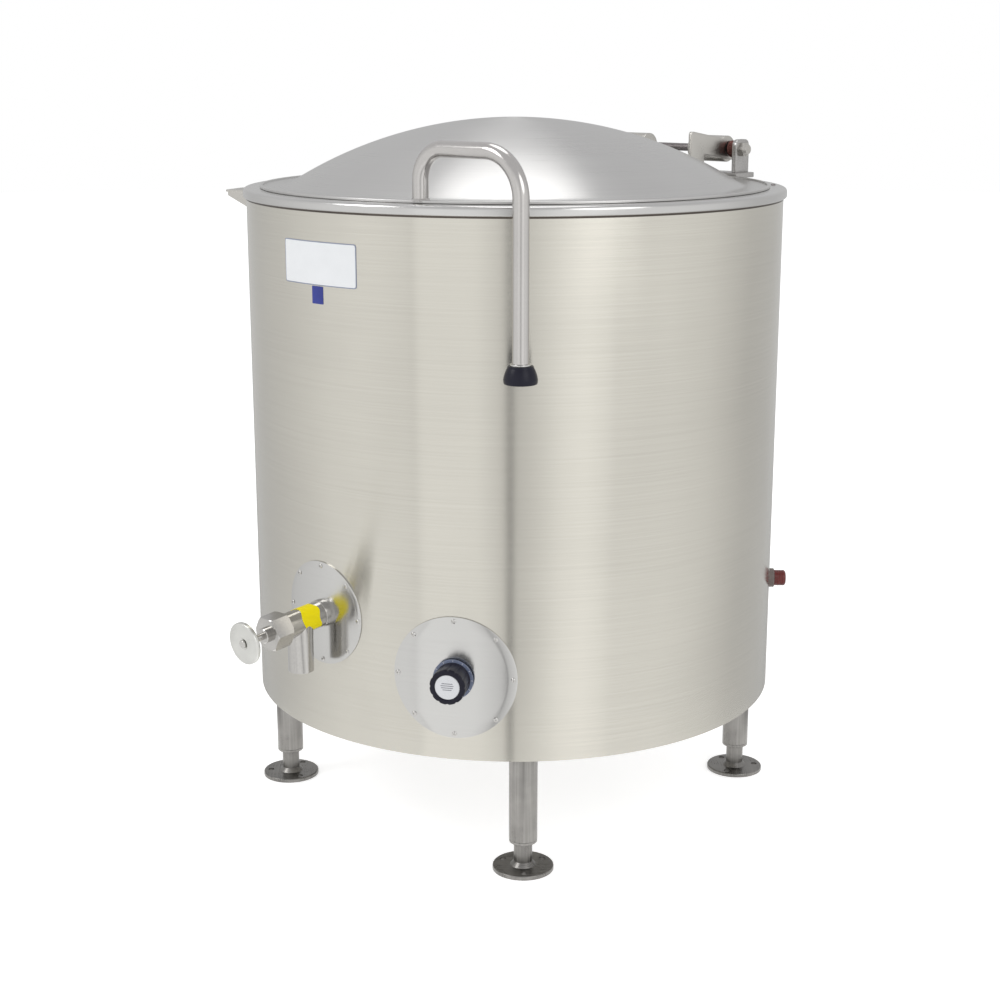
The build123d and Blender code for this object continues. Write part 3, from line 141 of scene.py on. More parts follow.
class KettleControlSizes(PropertyGroup):
    """Sizes of the thermostat control and the indicator"""

    azimuth: angle("Azimuth", "Where the control sits, from the front", 31.0)
    height: place_height("Height", "Height of the control's axis", 0.302)
    plate_radius: length("Plate radius", "Radius of the cover plate", 0.089)
    knob_radius: length("Knob radius", "Radius of the knob at its base", 0.025)
    knob_front: length("Knob front", "From the skirt to the knob's face", 0.043)
    dial_radius: length("Dial radius", "Radius of the dial skirt", 0.029)
    lamp_azimuth: angle("Indicator azimuth", "Where the indicator sits, from the front", 130.0)
    lamp_height: place_height("Indicator height", "Height of the indicator's axis", 0.338)


class KettleMarkSizes(PropertyGroup):
    """Sizes of the bare plate and tag"""

    plate_width: length("Plate width", "Width of the bare plate", 0.145)
    plate_bottom: place_height("Plate bottom", "Height of the plate's lower edge", 0.8385)
    plate_top: place_height("Plate top", "Height of the plate's upper edge", 0.899)
    plate_azimuth: angle("Plate azimuth", "Where the plate and the tag sit, from the front", 0.9)
    tag_width: length("Tag width", "Width of the small tag", 0.022)
    tag_bottom: place_height("Tag bottom", "Height of the tag's lower edge", 0.813)
    tag_top: place_height("Tag top", "Height of the tag's upper edge", 0.8375)


class KettleFinishes(PropertyGroup):
    """Colours of the finishes"""

    skirt: colour("Skirt", "Brushed stainless steel of the skirt", (0.60, 0.580, 0.522))
    lid: colour("Lid", "Brushed stainless steel of the lid", (0.56, 0.555, 0.545))
    polished: colour("Polished", "Polished stainless steel", (0.52, 0.505, 0.49))
    plate: colour("Cover plate", "Rolled steel of the cover plates", (0.56, 0.555, 0.54))
    valve: colour("Valve", "Polished valve castings", (0.50, 0.488, 0.468))
    leg: colour("Leg", "Satin leg tube", (0.31, 0.30, 0.285))
    foot: colour("Foot", "Satin flanged foot", (0.248, 0.24, 0.228))
    knob: colour("Knob", "Black moulding", (0.008, 0.008, 0.018))
    dial: colour("Dial", "Bluish clear moulding", (0.22, 0.26, 0.38))
    sticker: colour("Sticker", "Yellow vinyl", (0.95, 0.80, 0.0))
    tag: colour("Tag", "Blue print", (0.011, 0.026, 0.26))
    indicator: colour("Indicator", "Dark red moulding", (0.16, 0.012, 0.010))


# Placing and mesh making


def polar(azimuth, radius, height):
    """Point at an azimuth in radians, a distance from the kettle's axis and a height."""
    return Vector((radius * sin(azimuth), -radius * cos(azimuth), height))


def placed(origin, out, aside):
    """Matrix whose z axis points along out and whose x axis points along aside."""
    out, aside = Vector(out).normalized(), Vector(aside).normalized()
    turn = Matrix((aside, out.cross(aside), out)).transposed()
    return Matrix.Translation(origin) @ turn.to_4x4()


def on_wall(azimuth, height, radius):
    """Place on the wall: x runs round the kettle, y up and z out."""
    return placed(polar(azimuth, radius, height), polar(azimuth, 1, 0), polar(azimuth + pi / 2, 1, 0))


def upright(origin):
    """Place at an origin, its axes along the frame's."""
    return Matrix.Translation(origin)


def eased(points, steps, closed=False):
    """Profile whose points with a third value have their corner rounded by that much."""
    profile = []
    count = len(points)
    for index, point in enumerate(points):
        here = Vector(point[:2])
        ends = not closed and index in (0, count - 1)
        if len(point) < 3 or ends:
            profile.append(tuple(here))
            continue
        before = Vector(points[index - 1][:2]) - here
        after = Vector(points[(index + 1) % count][:2]) - here
        cut = min(point[2], 0.48 * before.length, 0.48 * after.length)
        start, end = here + before.normalized() * cut, here + after.normalized() * cut
        for step in range(steps + 1):
            t = step / steps
            profile.append(tuple(start.lerp(here, t).lerp(here.lerp(end, t), t)))
    return profile


def skin(rings, closed=False):
    """Faces between rings of point numbers; a ring that repeats one number is a point."""
    faces = []
    for low, high in zip(rings, rings[1:] + rings[:1] if closed else rings[1:]):
        for step in range(len(low)):
            after = (step + 1) % len(low)
            faces.append(tuple(dict.fromkeys((low[step], low[after], high[after], high[step]))))
    return faces


def even_rings(total, around):
    """Rings of point numbers when every ring has the same number of points."""
    return [range(start, start + around) for start in range(0, total, around)]


def mesh_piece(name, verts, faces, split, place=IDENTITY):
    """Object from points and faces, shaded smooth except over edges sharper than split degrees."""
    mesh = bpy.data.meshes.new(name)
    mesh.from_pydata([tuple(v) for v in verts], [], faces)
    work = bmesh.new()
    work.from_mesh(mesh)
    bmesh.ops.remove_doubles(work, verts=work.verts, dist=1e-7)
    bmesh.ops.recalc_face_normals(work, faces=work.faces)
    work.to_mesh(mesh)
    work.free()
    mesh.polygons.foreach_set("use_smooth", [True] * len(mesh.polygons))
    mesh.set_sharp_from_angle(angle=radians(split))
    piece = bpy.data.objects.new(name, mesh)
    bpy.context.scene.collection.objects.link(piece)
    piece.matrix_world = place
    return piece


def turned(name, profile, place=IDENTITY, around=96, closed=False, split=35.0, shape=None, ease=0):
    """Piece turned about the place's z axis from (radius, height) points.

    Where ease is given, it is the number of steps in each rounded corner; shape changes a radius by angle.
    """
    verts, rings = [], []
    for radius, height in eased(profile, ease, closed) if ease else profile:
        count = around if radius > 1e-6 else 1
        rings.append([len(verts) + step % count for step in range(around)])
        for step in range(count):
            turn = FULL_TURN * step / around
            reach = shape(radius, height, turn) if shape else radius
            verts.append((reach * cos(turn), reach * sin(turn), height))
    return mesh_piece(name, verts, skin(rings, closed), split, place)


def arc(radius, centre, first, last, steps):
    """Points on a circle about (0, centre), angles in radians from the axis."""
    turns = [first + (last - first) * step / steps for step in range(steps + 1)]
    return [(radius * sin(turn), centre + radius * cos(turn)) for turn in turns]


def bent(corners, bends, steps):
    """Path through corners, each inner one rounded with a true arc."""
    path = [Vector(corners[0])]
    for index, bend in enumerate(bends, 1):
        here = Vector(corners[index])
        before = (Vector(corners[index - 1]) - here).normalized()
        after = (Vector(corners[index + 1]) - here).normalized()
        half = before.angle(after) / 2
        reach = bend / tan(half)
        centre = here + (before + after).normalized() * bend / sin(half)
        start, end = here + before * reach - centre, here + after * reach - centre
        axis, sweep = start.cross(end).normalized(), start.angle(end)
        for step in range(steps + 1):
            path.append(centre + Matrix.Rotation(sweep * step / steps, 3, axis) @ start)
    path.append(Vector(corners[-1]))
    return path


def swept(name, path, radius, around, inner=0.0):
    """Round rod along a path, or with an inner radius a tube."""
    sections, verts = [], []
    rows = len(path)
    tangents = [(path[min(i + 1, rows - 1)] - path[max(i - 1, 0)]).normalized() for i in range(rows)]
    side = tangents[0].orthogonal().normalized()
    for point, tangent in zip(path, tangents):
        side = (side - tangent * side.dot(tangent)).normalized()
        sections.append((point, side.copy(), tangent.cross(side)))
    for reach in (radius, inner) if inner else (radius,):
        for point, side, up in sections:
            for step in range(around):
                turn = FULL_TURN * step / around
                verts.append(point + reach * (cos(turn) * side + sin(turn) * up))
    rings = even_rings(len(verts), around)
    faces = skin(rings[:rows])
    if inner:
        faces += skin(rings[rows:]) + skin([rings[0], rings[rows]]) + skin([rings[rows - 1], rings[-1]])
    else:
        faces += [tuple(rings[0]), tuple(rings[-1])]
    return mesh_piece(name, verts, faces, 50.0)


def slab(name, outline, thickness, place, ease, holes=()):
    """Flat plate with eased edges: its outline lies on the place's xy plane, its thickness runs along z."""
    drawn = bpy.data.curves.new(name, "CURVE")
    drawn.dimensions = "2D"
    drawn.fill_mode = "BOTH"
    drawn.extrude = thickness / 2 - ease
    drawn.bevel_depth = ease
    drawn.bevel_resolution = 2
    drawn.offset = -ease
    for loop in [outline, *holes]:
        line = drawn.splines.new("POLY")
        line.points.add(len(loop) - 1)
        for point, (x, y) in zip(line.points, loop):
            point.co = (x, y, 0, 1)
        line.use_cyclic_u = True
    holder = bpy.data.objects.new(name, drawn)
    bpy.context.scene.collection.objects.link(holder)
    mesh = bpy.data.meshes.new_from_object(holder)
    bpy.data.objects.remove(holder)
    verts = [v.co + Vector((0, 0, thickness / 2)) for v in mesh.vertices]
    piece = mesh_piece(name, verts, [tuple(p.vertices) for p in mesh.polygons], 40.0, place)
    bpy.data.meshes.remove(mesh)
    return piece


def rounded_rectangle(left, bottom, right, top, radius):
    """Closed outline whose corners are rounded."""
    corners = [(left, bottom), (right, bottom), (right, top), (left, top)]
    return eased([(*corner, radius) for corner in corners], 5, True)


def split_loop(loop, longest):
    """The same loop with points added, so that no edge of it is longer than that."""
    points = []
    for here, after in zip(loop, loop[1:] + loop[:1]):
        here, after = Vector(here), Vector(after)
        parts = max(1, ceil((after - here).length / longest))
        points += [tuple(here.lerp(after, part / parts)) for part in range(parts)]
    return points


def wrapped(name, width, bottom, top, radius, azimuth, corner):
    """Thin closed sheet, a rounded rectangle bent round the skirt."""
    thickness, rows = 0.0004, 6
    loop = split_loop(rounded_rectangle(-width / 2, bottom, width / 2, top, corner), 0.003)
    middle, count = (bottom + top) / 2, len(loop)
    verts = []
    shares = [(row + 1) / rows for row in range(rows)]
    for share, lift in [(share, thickness) for share in shares] + [(share, 0.0) for share in reversed(shares)]:
        for x, z in loop:
            verts.append(polar(azimuth + share * x / radius, radius + lift, middle + share * (z - middle)))
    rings = even_rings(len(verts), count)
    rings = [[len(verts)] * count, *rings, [len(verts) + 1] * count]
    verts += [polar(azimuth, radius + thickness, middle), polar(azimuth, radius, middle)]
    return mesh_piece(name, verts, skin(rings), 40.0)


def cover_plate(name, place, radius, bore, skirt_radius):
    """Round plate rolled to the skirt, its edge eased."""
    sheet, seat, ease, around = 0.0015, 0.0001, 0.0005, 128
    outer, inner = skirt_radius + seat + sheet, skirt_radius + seat
    rows = [(bore, inner), (bore, outer)]
    rows += [(bore + (radius - ease - bore) * step / 6, outer) for step in range(1, 7)]
    rows += [(radius - 0.15 * ease, outer - 0.3 * ease), (radius, outer - ease), (radius, inner)]
    verts = []
    for reach, wall in rows:
        for step in range(around):
            turn = FULL_TURN * step / around
            x, y = reach * cos(turn), reach * sin(turn)
            verts.append((x, y, sqrt(wall * wall - x * x) - skirt_radius))
    return mesh_piece(name, verts, skin(even_rings(len(verts), around), True), 40.0, place)


def joined(name, pieces):
    """One object from several, its mesh in the model's frame."""
    mesh = bpy.data.meshes.new(name)
    work = bmesh.new()
    for piece in pieces:
        start = len(work.verts)
        work.from_mesh(piece.data)
        work.verts.ensure_lookup_table()
        bmesh.ops.transform(work, matrix=piece.matrix_world, verts=work.verts[start:])
        bpy.data.objects.remove(piece)
    work.to_mesh(mesh)
    work.free()
    result = bpy.data.objects.new(name, mesh)
    bpy.context.scene.collection.objects.link(result)
    return result


def settle(piece, body, slot, finish, *replaced):
    """Gives a piece its finish by name, its body and the CAD nodes that it stands for; its slot is not used."""
    piece.data.materials.clear()
    piece.data.materials.append(finish_of(finish))
    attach(piece, body)
    if replaced:
        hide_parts(*replaced)


# Finishes


def node(tree, kind, inputs=None, **settings):
    """Shader node of a kind, its inputs linked or set by name or number."""
    made = tree.nodes.new("ShaderNode" + kind)
    for key, value in settings.items():
        setattr(made, key, value)
    for key, value in (inputs or {}).items():
        if isinstance(value, bpy.types.NodeSocket):
            tree.links.new(value, made.inputs[key])
        else:
            made.inputs[key].default_value = value
    return made


def new_finish(name, fixed):
    """Finish whose shader has its plain values set, with its tree, its shader and the piece's own coordinates."""
    finish = bpy.data.materials.new(name)
    finish.use_nodes = True
    tree = finish.node_tree
    shader = tree.nodes["Principled BSDF"]
    for key, value in fixed.items():
        shader.inputs[key].default_value = value
    return finish, tree, shader, node(tree, "TexCoord").outputs["Object"]


def noise(tree, vector, scale, detail=3.0, rough=0.55):
    made = node(tree, "TexNoise", {"Vector": vector, "Scale": scale, "Detail": detail, "Roughness": rough})
    return made.outputs[0]


def ranged(tree, value, low, high, first=0.3, last=0.7):
    inputs = {"Value": value, "From Min": first, "From Max": last, "To Min": low, "To Max": high}
    return node(tree, "MapRange", inputs).outputs[0]


def blended(tree, factor, first, second):
    made = node(tree, "Mix", {0: factor, 6: (*first, 1.0), 7: (*second, 1.0)}, data_type="RGBA")
    return made.outputs[2]


def scaled(tree, vector, scale):
    return node(tree, "Mapping", {"Vector": vector, "Scale": scale}).outputs[0]


def maths(tree, operation, first, second, **settings):
    return node(tree, "Math", {0: first, 1: second}, operation=operation, **settings).outputs[0]


def dress(tree, shader, shade, height, strength, distance):
    """Links a colour and a bump to the shader."""
    tree.links.new(shade, shader.inputs["Base Color"])
    lift = node(tree, "Bump", {"Strength": strength, "Distance": distance, "Height": height})
    tree.links.new(lift.outputs[0], shader.inputs["Normal"])


def grain_vector(tree, place, grain, fine):
    """Coordinates stretched so that noise runs as lines: round the z axis, along it, in rings about it or fine."""
    if grain != "rings":
        stretch = {"round": (3.0, 3.0, fine), "along": (fine, fine, 5.0), "fine": (fine, fine, fine)}[grain]
        return scaled(tree, place, stretch)
    flat = scaled(tree, place, (1.0, 1.0, 0.0))
    reach = node(tree, "VectorMath", {0: flat}, operation="LENGTH").outputs["Value"]
    lines = maths(tree, "MULTIPLY", reach, fine)
    split = node(tree, "SeparateXYZ", {0: scaled(tree, place, (2.5, 2.5, 2.5))})
    return node(tree, "CombineXYZ", {0: lines, 1: split.outputs[0], 2: split.outputs[1]}).outputs[0]


def brushed_metal(name, shade, rough, grain, fine, spread, tint, bump, stretch, cloud):
    """Metal with brushing lines that vary its roughness, colour and height, and soft clouds of handling."""
    fixed = {"Metallic": 1.0, "Anisotropic": stretch, "Anisotropic Rotation": 0.25}
    finish, tree, shader, place = new_finish(name, fixed)
    lines = noise(tree, grain_vector(tree, place, grain, fine), 1.0, 4.0, 0.7)
    both = maths(tree, "ADD", lines, noise(tree, place, cloud))
    dark = tuple(c * (1.0 - tint) for c in shade)
    light = tuple(min(1.0, c * (1.0 + tint * 0.6)) for c in shade)
    dress(tree, shader, blended(tree, ranged(tree, both, 0.0, 1.0, 0.75, 1.25), dark, light), lines, bump, 0.0004)
    tree.links.new(ranged(tree, both, rough - spread, rough + spread, 0.7, 1.3), shader.inputs["Roughness"])
    if stretch:
        tangent = node(tree, "Tangent", direction_type="RADIAL", axis="Z")
        tree.links.new(tangent.outputs[0], shader.inputs["Tangent"])
    return finish


def moulding(name, shade, rough, spread, bump, tint, fixed):
    """Moulded or rubbery piece: fine surface noise, with lighter wear in patches."""
    finish, tree, shader, place = new_finish(name, fixed)
    patches = noise(tree, place, 35.0)
    light = tuple(min(1.0, c * (1.0 + tint) + 0.02 * tint) for c in shade)
    worn = blended(tree, ranged(tree, patches, 0.0, 1.0, 0.35, 0.75), shade, light)
    dress(tree, shader, worn, noise(tree, place, 300.0), bump, 0.0003)
    tree.links.new(ranged(tree, patches, rough - spread, rough + spread), shader.inputs["Roughness"])
    return finish


def blanket(name, shade):
    """Mineral wool: soft fibres in layers."""
    finish, tree, shader, place = new_finish(name, {"Roughness": 0.95, "Sheen Weight": 0.3})
    fibres = noise(tree, scaled(tree, place, (60.0, 60.0, 260.0)), 1.0, 5.0, 0.75)
    both = maths(tree, "ADD", fibres, noise(tree, place, 40.0, 4.0))
    dark = tuple(c * 0.62 for c in shade)
    dress(tree, shader, blended(tree, ranged(tree, both, 0.0, 1.0, 0.8, 1.2), dark, shade), both, 0.6, 0.003)
    return finish


# Colour (a user's or its own), roughness, run and fineness of the lines, spread of the roughness, tint of the
# colour, bump, stretch of the reflections, clouds
METALS = {
    "skirt_steel": ("skirt", 0.20, "round", 1400, 0.03, 0.08, 0.07, 1.0, 2.5),
    "lid_steel": ("lid", 0.30, "rings", 900, 0.05, 0.06, 0.05, 0.7, 3.5),
    "bowl_steel": ("lid", 0.28, "round", 1400, 0.02, 0.05, 0.02, 0.4, 3.5),
    "rim_steel": ("lid", 0.20, "rings", 900, 0.04, 0.06, 0.03, 0.5, 3.5),
    # Painted shadow: dark steel for the ring under the rim's bead
    "weld_steel": ((0.10, 0.085, 0.075), 0.45, "fine", 500, 0.07, 0.40, 0.10, 0.0, 3.5),
    "tube_steel": ("polished", 0.17, "fine", 500, 0.03, 0.05, 0.02, 0.0, 9.0),
    "plate_steel": ("plate", 0.17, "round", 1400, 0.03, 0.05, 0.04, 0.8, 3.5),
    "valve_steel": ("valve", 0.16, "fine", 500, 0.04, 0.10, 0.03, 0.0, 22.0),
    "wheel_steel": ((0.66, 0.66, 0.63), 0.30, "rings", 1500, 0.05, 0.10, 0.06, 0.0, 40.0),
    "leg_steel": ("leg", 0.33, "along", 260, 0.09, 0.25, 0.10, 0.0, 22.0),
    "foot_steel": ("foot", 0.32, "rings", 700, 0.10, 0.30, 0.10, 0.0, 30.0),
    "frame_steel": ((0.50, 0.49, 0.47), 0.42, "fine", 60, 0.07, 0.20, 0.10, 0.0, 3.5),
    "jacket_steel": ((0.48, 0.47, 0.45), 0.45, "fine", 40, 0.07, 0.22, 0.10, 0.0, 3.5),
    "hinge_steel": ((0.50, 0.485, 0.455), 0.28, "fine", 500, 0.05, 0.06, 0.03, 0.0, 12.0),
    # Painted shade: a darker copy of the hinge steel, for the plate and posts on the rim
    "mount_steel": ((0.42, 0.41, 0.40), 0.26, "fine", 500, 0.05, 0.06, 0.03, 0.0, 12.0),
    "shaft_steel": ((0.22, 0.20, 0.20), 0.35, "fine", 200, 0.07, 0.30, 0.10, 0.0, 3.5),
    "screw_steel": ((0.56, 0.55, 0.53), 0.27, "fine", 400, 0.07, 0.08, 0.10, 0.0, 3.5),
    "face_metal": ((0.62, 0.63, 0.65), 0.28, "rings", 2200, 0.06, 0.06, 0.10, 0.0, 50.0),
    "brass": ((0.60, 0.42, 0.17), 0.30, "fine", 180, 0.07, 0.25, 0.10, 0.0, 25.0),
    "element_alloy": ((0.30, 0.26, 0.25), 0.40, "fine", 90, 0.07, 0.35, 0.10, 0.0, 20.0),
    "spring_steel": ((0.16, 0.07, 0.06), 0.38, "fine", 300, 0.07, 0.40, 0.10, 0.0, 3.5),
}
# Colour, roughness, spread of the roughness, bump, tint of the worn patches, the shader's plain values
MOULDINGS = {
    "knob_moulding": ("knob", 0.34, 0.06, 0.06, 0.15, {"Specular IOR Level": 0.22}),
    "dial_moulding": ("dial", 0.16, 0.06, 0.02, 0.25, {"Transmission Weight": 0.35, "IOR": 1.46}),
    "dial_marks": ((0.78, 0.80, 0.84), 0.45, 0.06, 0.02, 0.25, {}),
    "indicator_moulding": ("indicator", 0.18, 0.06, 0.03, 0.25, {"Transmission Weight": 0.25, "IOR": 1.5}),
    "bezel_moulding": ((0.16, 0.13, 0.12), 0.42, 0.06, 0.06, 0.25, {}),
    "grey_moulding": ((0.10, 0.10, 0.11), 0.48, 0.06, 0.06, 0.40, {}),
    "rubber": ((0.02, 0.02, 0.02), 0.60, 0.06, 0.12, 0.25, {}),
    "white_vinyl": ((0.90, 0.92, 0.94), 0.36, 0.05, 0.02, 0.03, {}),
    "edge_vinyl": ((0.24, 0.27, 0.36), 0.40, 0.06, 0.02, 0.25, {}),
    "line_ink": ((0.10, 0.10, 0.13), 0.45, 0.06, 0.02, 0.25, {}),
    "blue_vinyl": ("tag", 0.34, 0.06, 0.02, 0.30, {}),
    "yellow_vinyl": ("sticker", 0.45, 0.06, 0.08, 0.04, {"Specular IOR Level": 0.2}),
}
WOOL = (0.62, 0.54, 0.36)
FINISHES = {}


def finish_of(name):
    """Finish by name, made once from the tables and the user's colours."""
    if name not in FINISHES:
        maker, row = brushed_metal, METALS.get(name)
        if name in MOULDINGS:
            maker, row = moulding, MOULDINGS[name]
        elif name == "wool":
            maker, row = blanket, [WOOL]
        shade = getattr(bpy.context.scene.kettle_finishes, row[0]) if isinstance(row[0], str) else row[0]
        FINISHES[name] = maker(name, shade, *row[1:])
    return FINISHES[name]


# Pieces


class KETTLE_OT_shell(Operator):
    """Build the skirt and its rolled rim"""

    bl_idname = "kettle.shell"
    bl_label = "Skirt and rim"

    def execute(self, context):
        sizes = context.scene.kettle_shell
        radius, low, bowl, bead = sizes.skirt_radius, sizes.skirt_bottom, sizes.bowl_radius, sizes.bead_radius
        height, top, sheet, deck, lip = sizes.rim_height, sizes.rim_height - sizes.bead_height, 0.0015, 0.003, 0.0112
        section = [(radius, low, 0.0005), (radius, top), (radius - sheet, top), (radius - sheet, low, 0.0005)]
        skirt = turned("skirt", section, around=288, closed=True, ease=2)
        settle(skirt, "kettle", "skirt_steel", "skirt_steel", "outer_skirt")
        section = [(bowl, height, 0.0014), (bead, height, 0.0068), (bead, top, 0.0040), (bead - lip, top, 0.0004)]
        section += [(bead - lip, height - deck), (bowl, height - deck, 0.0004)]
        rim = turned("rolled_rim", section, around=288, closed=True, split=50.0, ease=8)
        settle(rim, "kettle", "rim_steel", "rim_steel", "rim_ring")
        # Dark ring just under the rolled bead: painted shadow of the bead on the skirt, shaped as a small seam
        seam = ((0.0001, 0.0), (0.0013, 0.0), (0.0010, 0.0016), (0.0001, 0.0026))
        weld = turned("rim_weld", [(radius + out, top - down) for out, down in seam], around=288, closed=True)
        settle(weld, "kettle", "rim_steel", "weld_steel")
        return {"FINISHED"}


class KETTLE_OT_bowl(Operator):
    """Build the inside of the bowl"""

    bl_idname = "kettle.bowl"
    bl_label = "Bowl"

    def execute(self, context):
        sizes = context.scene.kettle_shell
        radius, centre, top, sheet = sizes.bowl_radius, sizes.bowl_centre, sizes.rim_height - 0.003, 0.002
        profile = arc(radius, centre, pi, pi / 2, 48) + [(radius, top), (radius + sheet, top)]
        profile += arc(radius + sheet, centre, pi / 2, pi, 48)
        settle(turned("bowl", profile, around=192, split=60.0), "kettle", "bowl_steel", "bowl_steel", "kettle_liner")
        return {"FINISHED"}


def dome_sphere(lid):
    """Radius of the sphere that the outside of the lid's dome is part of, and its centre's height."""
    sphere = (lid.dome_radius**2 + lid.crown**2) / (2 * lid.crown)
    return sphere, lid.seat + lid.sheet + lid.crown - sphere


class KETTLE_OT_lid(Operator):
    """Build the domed lid with its hemmed flange"""

    bl_idname = "kettle.lid"
    bl_label = "Lid"

    def execute(self, context):
        sizes = context.scene.kettle_lid
        sphere, centre = dome_sphere(sizes)
        seat, base, inner = sizes.seat, sizes.seat + sizes.sheet, sphere - sizes.sheet
        foot = asin(sizes.dome_radius / sphere)
        inner_foot = acos((seat - centre) / inner)
        edge, hem, hem_top, shy = sizes.lid_radius, 0.005, 0.004, 0.965
        profile = arc(sphere, centre, 0.0, foot * shy, 44)
        flange = [profile[-1], (sizes.dome_radius, base, 0.008), (edge - hem, base, 0.0006)]
        flange += [(edge - hem, seat + hem_top, 0.0012), (edge, seat + hem_top, 0.0014), (edge, seat, 0.0010)]
        flange += [(inner * sin(inner_foot), seat, 0.006)]
        flange += [(inner * sin(inner_foot * shy), centre + inner * cos(inner_foot * shy))]
        profile += eased(flange, 6)[1:] + arc(inner, centre, inner_foot * shy, 0.0, 32)[1:]
        settle(turned("lid", profile, around=256, split=50.0), "lid", "lid_steel", "lid_steel", "lid_dome")
        return {"FINISHED"}


class KETTLE_OT_handle(Operator):
    """Build the bent tube handle, its weld and its black end"""

    bl_idname = "kettle.handle"
    bl_label = "Lid handle"

    def execute(self, context):
        sizes, lid = context.scene.kettle_handle, context.scene.kettle_lid
        radius, base, bottom = sizes.tube_radius, lid.seat + lid.sheet, sizes.end_bottom
        socket, wall = 0.006, 0.0015
        foot = polar(sizes.foot_azimuth, sizes.foot_radius, base)
        drop = polar(sizes.drop_azimuth, sizes.drop_radius, bottom + socket)
        corners = [foot, (*foot.xy, sizes.run_height), (*drop.xy, sizes.run_height), drop]
        path = bent(corners, [sizes.foot_bend, sizes.drop_bend], 20)
        path.insert(1, Vector((*foot.xy, base + 0.006)))
        settle(swept("handle_tube", path, radius, 40, radius - wall), "lid", "tube_steel", "tube_steel", "lid_handle")
        section = [(radius - 0.0002, 0.0044), (radius + 0.0004, 0.0040), (radius + 0.0013, 0.0022)]
        section += [(radius + 0.0030, 0.0009), (radius + 0.0036, 0.0002), (radius - 0.0002, 0.0002)]

        def ripple(reach, height, turn):
            return reach + (0.00025 * sin(34 * turn) if 0.0006 < height < 0.0042 else 0.0)

        weld = turned("handle_weld", section, upright(foot), 136, True, 60.0, ripple)
        settle(weld, "lid", "tube_steel", "tube_steel")
        high = sizes.end_top - bottom
        bell = [(0.0, 0.0), (0.0222, 0.0, 0.0018), (0.0228, 0.0060, 0.0010), (0.0214, 0.0125), (0.0192, 0.0185)]
        bell += [(0.0175, 0.0215, 0.0010), (0.0170, high, 0.0020), (radius + 0.0002, high, 0.0004)]
        bell += [(radius + 0.0002, socket), (0.0, socket)]
        place = upright((*drop.xy, bottom))
        end = turned("handle_bell", bell, place, 72, split=28.0, ease=4)
        settle(end, "lid", "black_plastic", "knob_moulding", "handle_end")
        near, far, ease = radius + 0.0001, 0.0140, 0.0005
        collar = [(near, high, ease), (far, high, ease), (far, high + 0.0022, ease), (near, high + 0.0030, ease)]
        settle(turned("handle_collar", collar, place, 64, True, ease=3), "lid", "tube_steel", "rim_steel")
        return {"FINISHED"}


# The lid's hinge: distances back from the kettle's axis, aside from the middle, and heights
SHAFT_BACK, SHAFT_HEIGHT, SHAFT_BORE = 0.388, 1.0, 0.0063
ARM_ASIDE, ARM_SHEET, ARM_FRONT, ARM_LEG, ARM_REAR = 0.117, 0.006, 0.283, 0.318, 0.403
ARM_BOTTOM, ARM_TOP, ARM_FRONT_TOP = 0.981, 1.012, 1.031
POST_ASIDE, POST_HALF, POST_BOTTOM, POST_TOP = 0.140, 0.018, 0.961, 1.016
MOUNT_HALF, MOUNT_FRONT, MOUNT_REAR, MOUNT_BOTTOM, MOUNT_SHEET = 0.154, 0.390, 0.412, 0.955, 0.008


